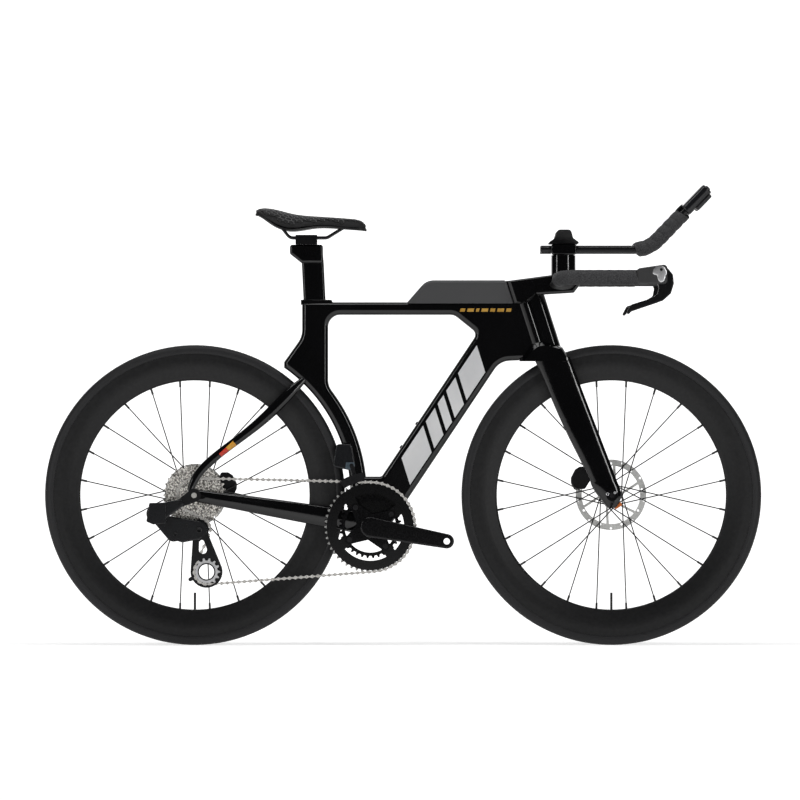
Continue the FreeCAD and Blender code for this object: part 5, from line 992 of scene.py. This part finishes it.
def pressed_plate(corners, side, node):
    """A thin plate with four corners given by x and z, pressed along Y on to a measured piece."""
    deselect()
    bpy.ops.mesh.primitive_grid_add(x_subdivisions=PLATE_CUTS_ALONG, y_subdivisions=PLATE_CUTS_UP, size=1)
    plate = bpy.context.object
    low_left, low_right, high_right, high_left = (Vector((x, 0, z)) for x, z in corners)
    for vertex in plate.data.vertices:
        across, up = vertex.co.x + 0.5, vertex.co.y + 0.5
        below = low_left.lerp(low_right, across)
        above = high_left.lerp(high_right, across)
        vertex.co = below.lerp(above, up) + Vector((0, side * PLATE_START, 0))
    press = plate.modifiers.new("Press", "SHRINKWRAP")
    press.target = nodes[node]
    press.wrap_method = "PROJECT"
    press.use_project_y = True
    press.use_project_x = False
    press.use_project_z = False
    press.use_positive_direction = side < 0
    press.use_negative_direction = side > 0
    press.offset = PRESS_GAP
    apply_all(plate)
    pick(plate, "VERT", lambda vertex: abs(vertex.co.y) > PLATE_START * MISSED_SHARE)
    bpy.ops.mesh.delete(type="VERT")
    bpy.ops.object.mode_set(mode="OBJECT")
    skin = plate.modifiers.new("Skin", "SOLIDIFY")
    skin.thickness = PLATE_SKIN
    skin.offset = 1 if side < 0 else -1
    apply_all(plate)
    bpy.ops.object.mode_set(mode="EDIT")
    bpy.ops.mesh.select_all(action="SELECT")
    bpy.ops.mesh.normals_make_consistent(inside=False)
    bpy.ops.object.mode_set(mode="OBJECT")
    return plate


# %% A plate on the front derailleur
MECH_CORNERS = ((-0.131, 0.397), (-0.111, 0.397), (-0.109, 0.413), (-0.129, 0.413))


def plate_paint():
    return noise_finish("plate_paint", dark=(0.03, 0.05, 0.065), light=(0.07, 0.1, 0.125), grain=90,
                        rough=(0.25, 0.36), bump=0.03)


plate_paint()
mech_plate = pressed_plate(MECH_CORNERS, -1, "front_derailleur_body")
settle(mech_plate, "mech_plate", "frame", "plate_paint")
print("derailleur plate:", len(mech_plate.data.polygons), "faces")

# %% Bars on the down tube
TUBE_START = Vector((-0.0164, 0.3593))
TUBE_ALONG = Vector((0.5556, 0.8314))
TUBE_ACROSS = Vector((0.8314, -0.5556))
BAR_HALF = 0.025
BAR_LEAN = 0.02
TUBE_BARS = ((0.04, 0.128), (0.139, 0.176), (0.187, 0.211), (0.222, 0.259), (0.27, 0.346))


def smooth_paint(name, dark, light, grain=60, metal=0.0):
    """Paints share one gloss, and differ in their tones."""
    return noise_finish(name, dark, light, grain, rough=(0.3, 0.4), bump=0.02, metal=metal)


def tube_bar(start, end, side):
    corners = [TUBE_START + TUBE_ALONG * (along - BAR_LEAN * edge) + TUBE_ACROSS * (BAR_HALF * edge)
               for along, edge in ((start, 1), (end, 1), (end, -1), (start, -1))]
    return pressed_plate(corners, side, "frame_main")


smooth_paint("silver_paint", dark=(0.62, 0.63, 0.65), light=(0.9, 0.9, 0.9), grain=5, metal=0.25)
bars = [tube_bar(start, end, side) for side in (-1, 1) for start, end in TUBE_BARS]
settle(joined(bars), "tube_bars", "frame", "silver_paint")
print("bars on each side:", len(TUBE_BARS))

# %% Dashes on the top tube
DASHES = ((0.128, 0.139), (0.144, 0.159), (0.164, 0.171), (0.176, 0.191), (0.196, 0.207), (0.212, 0.227),
          (0.232, 0.243))
DASH_LOW, DASH_HIGH = 0.753, 0.7605
DASH_LEAN = 0.0018


def top_dash(start, end, side):
    corners = ((start, DASH_LOW), (end, DASH_LOW),
               (end + DASH_LEAN, DASH_HIGH), (start + DASH_LEAN, DASH_HIGH))
    return pressed_plate(corners, side, "frame_main")


smooth_paint("gold_paint", dark=(0.5, 0.27, 0.04), light=(0.68, 0.4, 0.08), metal=0.4)
dashes = [top_dash(start, end, side) for side in (-1, 1) for start, end in DASHES]
settle(joined(dashes), "top_dashes", "frame", "gold_paint")
print("dashes on each side:", len(DASHES))

# %% Blocks on the seat stays
STAY_ALONG = Vector((0.735, 0.678))
STAY_ACROSS = Vector((-0.678, 0.735))
STAY_BLOCKS = (("red", (-0.403, 0.435)), ("yellow", (-0.3874, 0.4494)))
BLOCK_HALF_LENGTH = 0.0108
BLOCK_HALF_DEPTH = 0.0062


def stay_block(middle, side):
    corners = []
    for along, across in ((-1, -1), (1, -1), (1, 1), (-1, 1)):
        run = STAY_ALONG * (BLOCK_HALF_LENGTH * along)
        corners.append(Vector(middle) + run + STAY_ACROSS * (BLOCK_HALF_DEPTH * across))
    return pressed_plate(corners, side, "seat_stays")


smooth_paint("red_paint", dark=(0.6, 0.03, 0.015), light=(0.75, 0.05, 0.02))
smooth_paint("yellow_paint", dark=(0.75, 0.33, 0.03), light=(0.85, 0.45, 0.06))
for colour, middle in STAY_BLOCKS:
    blocks = joined([stay_block(middle, side) for side in (-1, 1)])
    settle(blocks, colour + "_stay_blocks", "frame", colour + "_paint")
print("blocks on each side:", len(STAY_BLOCKS))

# %% [markdown]
# ## Bolts
# Socket bolts hold the derailleur, the hoods and the fittings on the frame and fork. A flat disc would show
# no socket from the side. So a bolt is turned from a cylinder: its top is inset and pushed down for the
# key, and its rim is bevelled.

# %% A socket bolt
BOLT_SIDES = 24
SOCKET_WALL_SHARE = 0.42
SOCKET_DEPTH_SHARE = 0.5
BOLT_EDGE_SHARE = 0.12
BOLT_EDGE_STEPS = 2
FACING = 0.9


def rounded(thing, width, steps):
    """Bevel the sharp edges, and shade what is round as smooth."""
    edge = thing.modifiers.new("Edge", "BEVEL")
    edge.width = width
    edge.segments = steps
    edge.limit_method = "ANGLE"
    apply_all(thing)
    bpy.ops.object.shade_smooth_by_angle(angle=SMOOTH_ANGLE)


def socket_bolt(place, axis, radius, height):
    deselect()
    bpy.ops.mesh.primitive_cylinder_add(vertices=BOLT_SIDES, radius=radius, depth=height)
    bolt = bpy.context.object
    pick(bolt, "FACE", lambda face: face.normal.z > FACING)
    bpy.ops.mesh.inset(thickness=radius * SOCKET_WALL_SHARE)
    bpy.ops.mesh.extrude_region_move(TRANSFORM_OT_translate={"value": (0, 0, -height * SOCKET_DEPTH_SHARE)})
    bpy.ops.object.mode_set(mode="OBJECT")
    rounded(bolt, radius * BOLT_EDGE_SHARE, BOLT_EDGE_STEPS)
    turn = Vector(axis).to_track_quat("Z", "Y").to_matrix().to_4x4()
    bolt.data.transform(Matrix.Translation(place) @ turn)
    return bolt


def bolt_set(bolts, name, body, finish):
    """The bolts of one place as one piece."""
    settle(joined([socket_bolt(*values) for values in bolts]), name, body, finish)
    print(name, "has", len(bolts), "bolts")


# %% The bolts in their places
OUT_RIGHT = (0, -1, 0)
OFF_TUBE = (-TUBE_ACROSS.x, 0, -TUBE_ACROSS.y)
BOLT_HEIGHT = 0.006
# Each row has a bolt's place, the way that it faces, its radius and its height.
FRAME_BOLTS = (((-0.0043, 0, 0.4475), OFF_TUBE, 0.0042, BOLT_HEIGHT),
               ((0.0313, 0, 0.5007), OFF_TUBE, 0.0042, BOLT_HEIGHT),
               ((-0.5025, -0.1065, 0.321), OUT_RIGHT, 0.0055, BOLT_HEIGHT))
FORK_BOLTS = (((0.4602, -0.0662, 0.342), OUT_RIGHT, 0.0036, BOLT_HEIGHT),
              ((0.477, -0.0662, 0.345), OUT_RIGHT, 0.003, BOLT_HEIGHT))
MECH_BOLT_RISE = 0.0012
MECH_BOLT_HEIGHT = 0.005
mech_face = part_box("rear_derailleur_body")[0].y
mech_bolts = [((x, mech_face - MECH_BOLT_RISE, z), OUT_RIGHT, radius, MECH_BOLT_HEIGHT)
              for x, z, radius in ((-0.459, 0.262, 0.008), (-0.512, 0.252, 0.0055), (-0.486, 0.272, 0.004))]
HOOD_BOLT_X, HOOD_BOLT_Y, HOOD_BOLT_Z = 0.5775, 0.2062, 0.8455
HOOD_BOLT_SIZE = (0.0034, 0.003)
hood_bolts = [((HOOD_BOLT_X, side * HOOD_BOLT_Y, HOOD_BOLT_Z), (0, side, 0), *HOOD_BOLT_SIZE)
              for side in (-1, 1)]
bolt_set(FRAME_BOLTS, "frame_bolts", "frame", "black_anodised")
bolt_set(FORK_BOLTS, "fork_bolts", "steering", "silver_alloy")
bolt_set(mech_bolts, "mech_bolts", "frame", "black_anodised")
bolt_set(hood_bolts, "hood_bolts", "steering", "black_anodised")

# %% [markdown]
# ## Hood plates
# A silver plate with a raised middle sits in the side of each lever hood. It is nearly oval, and narrower
# below. A curve could be filled for it. A cylinder is quicker: it is stretched, its lower half is drawn in,
# and its flat faces are inset and raised.

# %% Plates in the lever hoods
HOOD_PLATE_SIDES = 32
HOOD_PLATE_RADIUS = 0.0155
HOOD_PLATE_DEPTH = 0.0018
HOOD_PLATE_STRETCH = 1.22
LOWER_WIDTH_SHARE = 0.62
LOWER_CENTRE = (0.009, 0, 0)
HOOD_PLATE_RIM = 0.0022
MIDDLE_RISE = 1.25
HOOD_PLATE_EDGE = 0.0003
HOOD_PLATE_X, HOOD_PLATE_Y, HOOD_PLATE_Z = 0.574, 0.205, 0.836


def hood_plate(side):
    deselect()
    bpy.ops.mesh.primitive_cylinder_add(vertices=HOOD_PLATE_SIDES, radius=HOOD_PLATE_RADIUS,
                                        depth=HOOD_PLATE_DEPTH)
    plate = bpy.context.object
    plate.scale = (1, HOOD_PLATE_STRETCH, 1)
    freeze()
    pick(plate, "VERT", lambda vertex: vertex.co.y < 0)
    bpy.ops.transform.resize(value=(LOWER_WIDTH_SHARE, 1, 1), center_override=LOWER_CENTRE)
    # In point mode, picking both flat faces would pick the rim between them too.
    bpy.ops.mesh.select_mode(type="FACE")
    pick(plate, "FACE", lambda face: abs(face.normal.z) > FACING)
    bpy.ops.mesh.inset(thickness=HOOD_PLATE_RIM, use_individual=True)
    bpy.ops.transform.resize(value=(1, 1, MIDDLE_RISE))
    bpy.ops.object.mode_set(mode="OBJECT")
    rounded(plate, HOOD_PLATE_EDGE, BOLT_EDGE_STEPS)
    turn = Matrix.Rotation(math.pi / 2, 4, "X")
    plate.data.transform(Matrix.Translation((HOOD_PLATE_X, side * HOOD_PLATE_Y, HOOD_PLATE_Z)) @ turn)
    return plate


hood_plates = settle(joined([hood_plate(side) for side in (-1, 1)]), "hood_plates", "steering",
                     "silver_alloy")
print("hood plates:", len(hood_plates.data.polygons), "faces")

# %% [markdown]
# ## The axle tab
# A small orange tab marks the front axle. It is a cube at its size and tilt, with edges rounded as on a
# moulded piece.

# %% A tab at the front axle
TAB_PLACE = (0.484, -0.056, 0.3155)
TAB_SIZE = (0.019, 0.006, 0.009)
TAB_TILT = math.radians(-32)
TAB_EDGE = 0.002
TAB_EDGE_STEPS = 3


def orange_paint():
    return noise_finish("orange_paint", dark=(0.62, 0.14, 0.015), light=(0.78, 0.2, 0.03), grain=200,
                        rough=(0.35, 0.5), bump=0.05)


def axle_tab():
    deselect()
    bpy.ops.mesh.primitive_cube_add(size=1, location=TAB_PLACE)
    tab = bpy.context.object
    tab.scale = TAB_SIZE
    tab.rotation_euler = (0, TAB_TILT, 0)
    freeze()
    rounded(tab, TAB_EDGE, TAB_EDGE_STEPS)
    return tab


orange_paint()
tab = settle(axle_tab(), "axle_tab", "steering", "orange_paint")
print("axle tab:", len(tab.data.polygons), "faces")
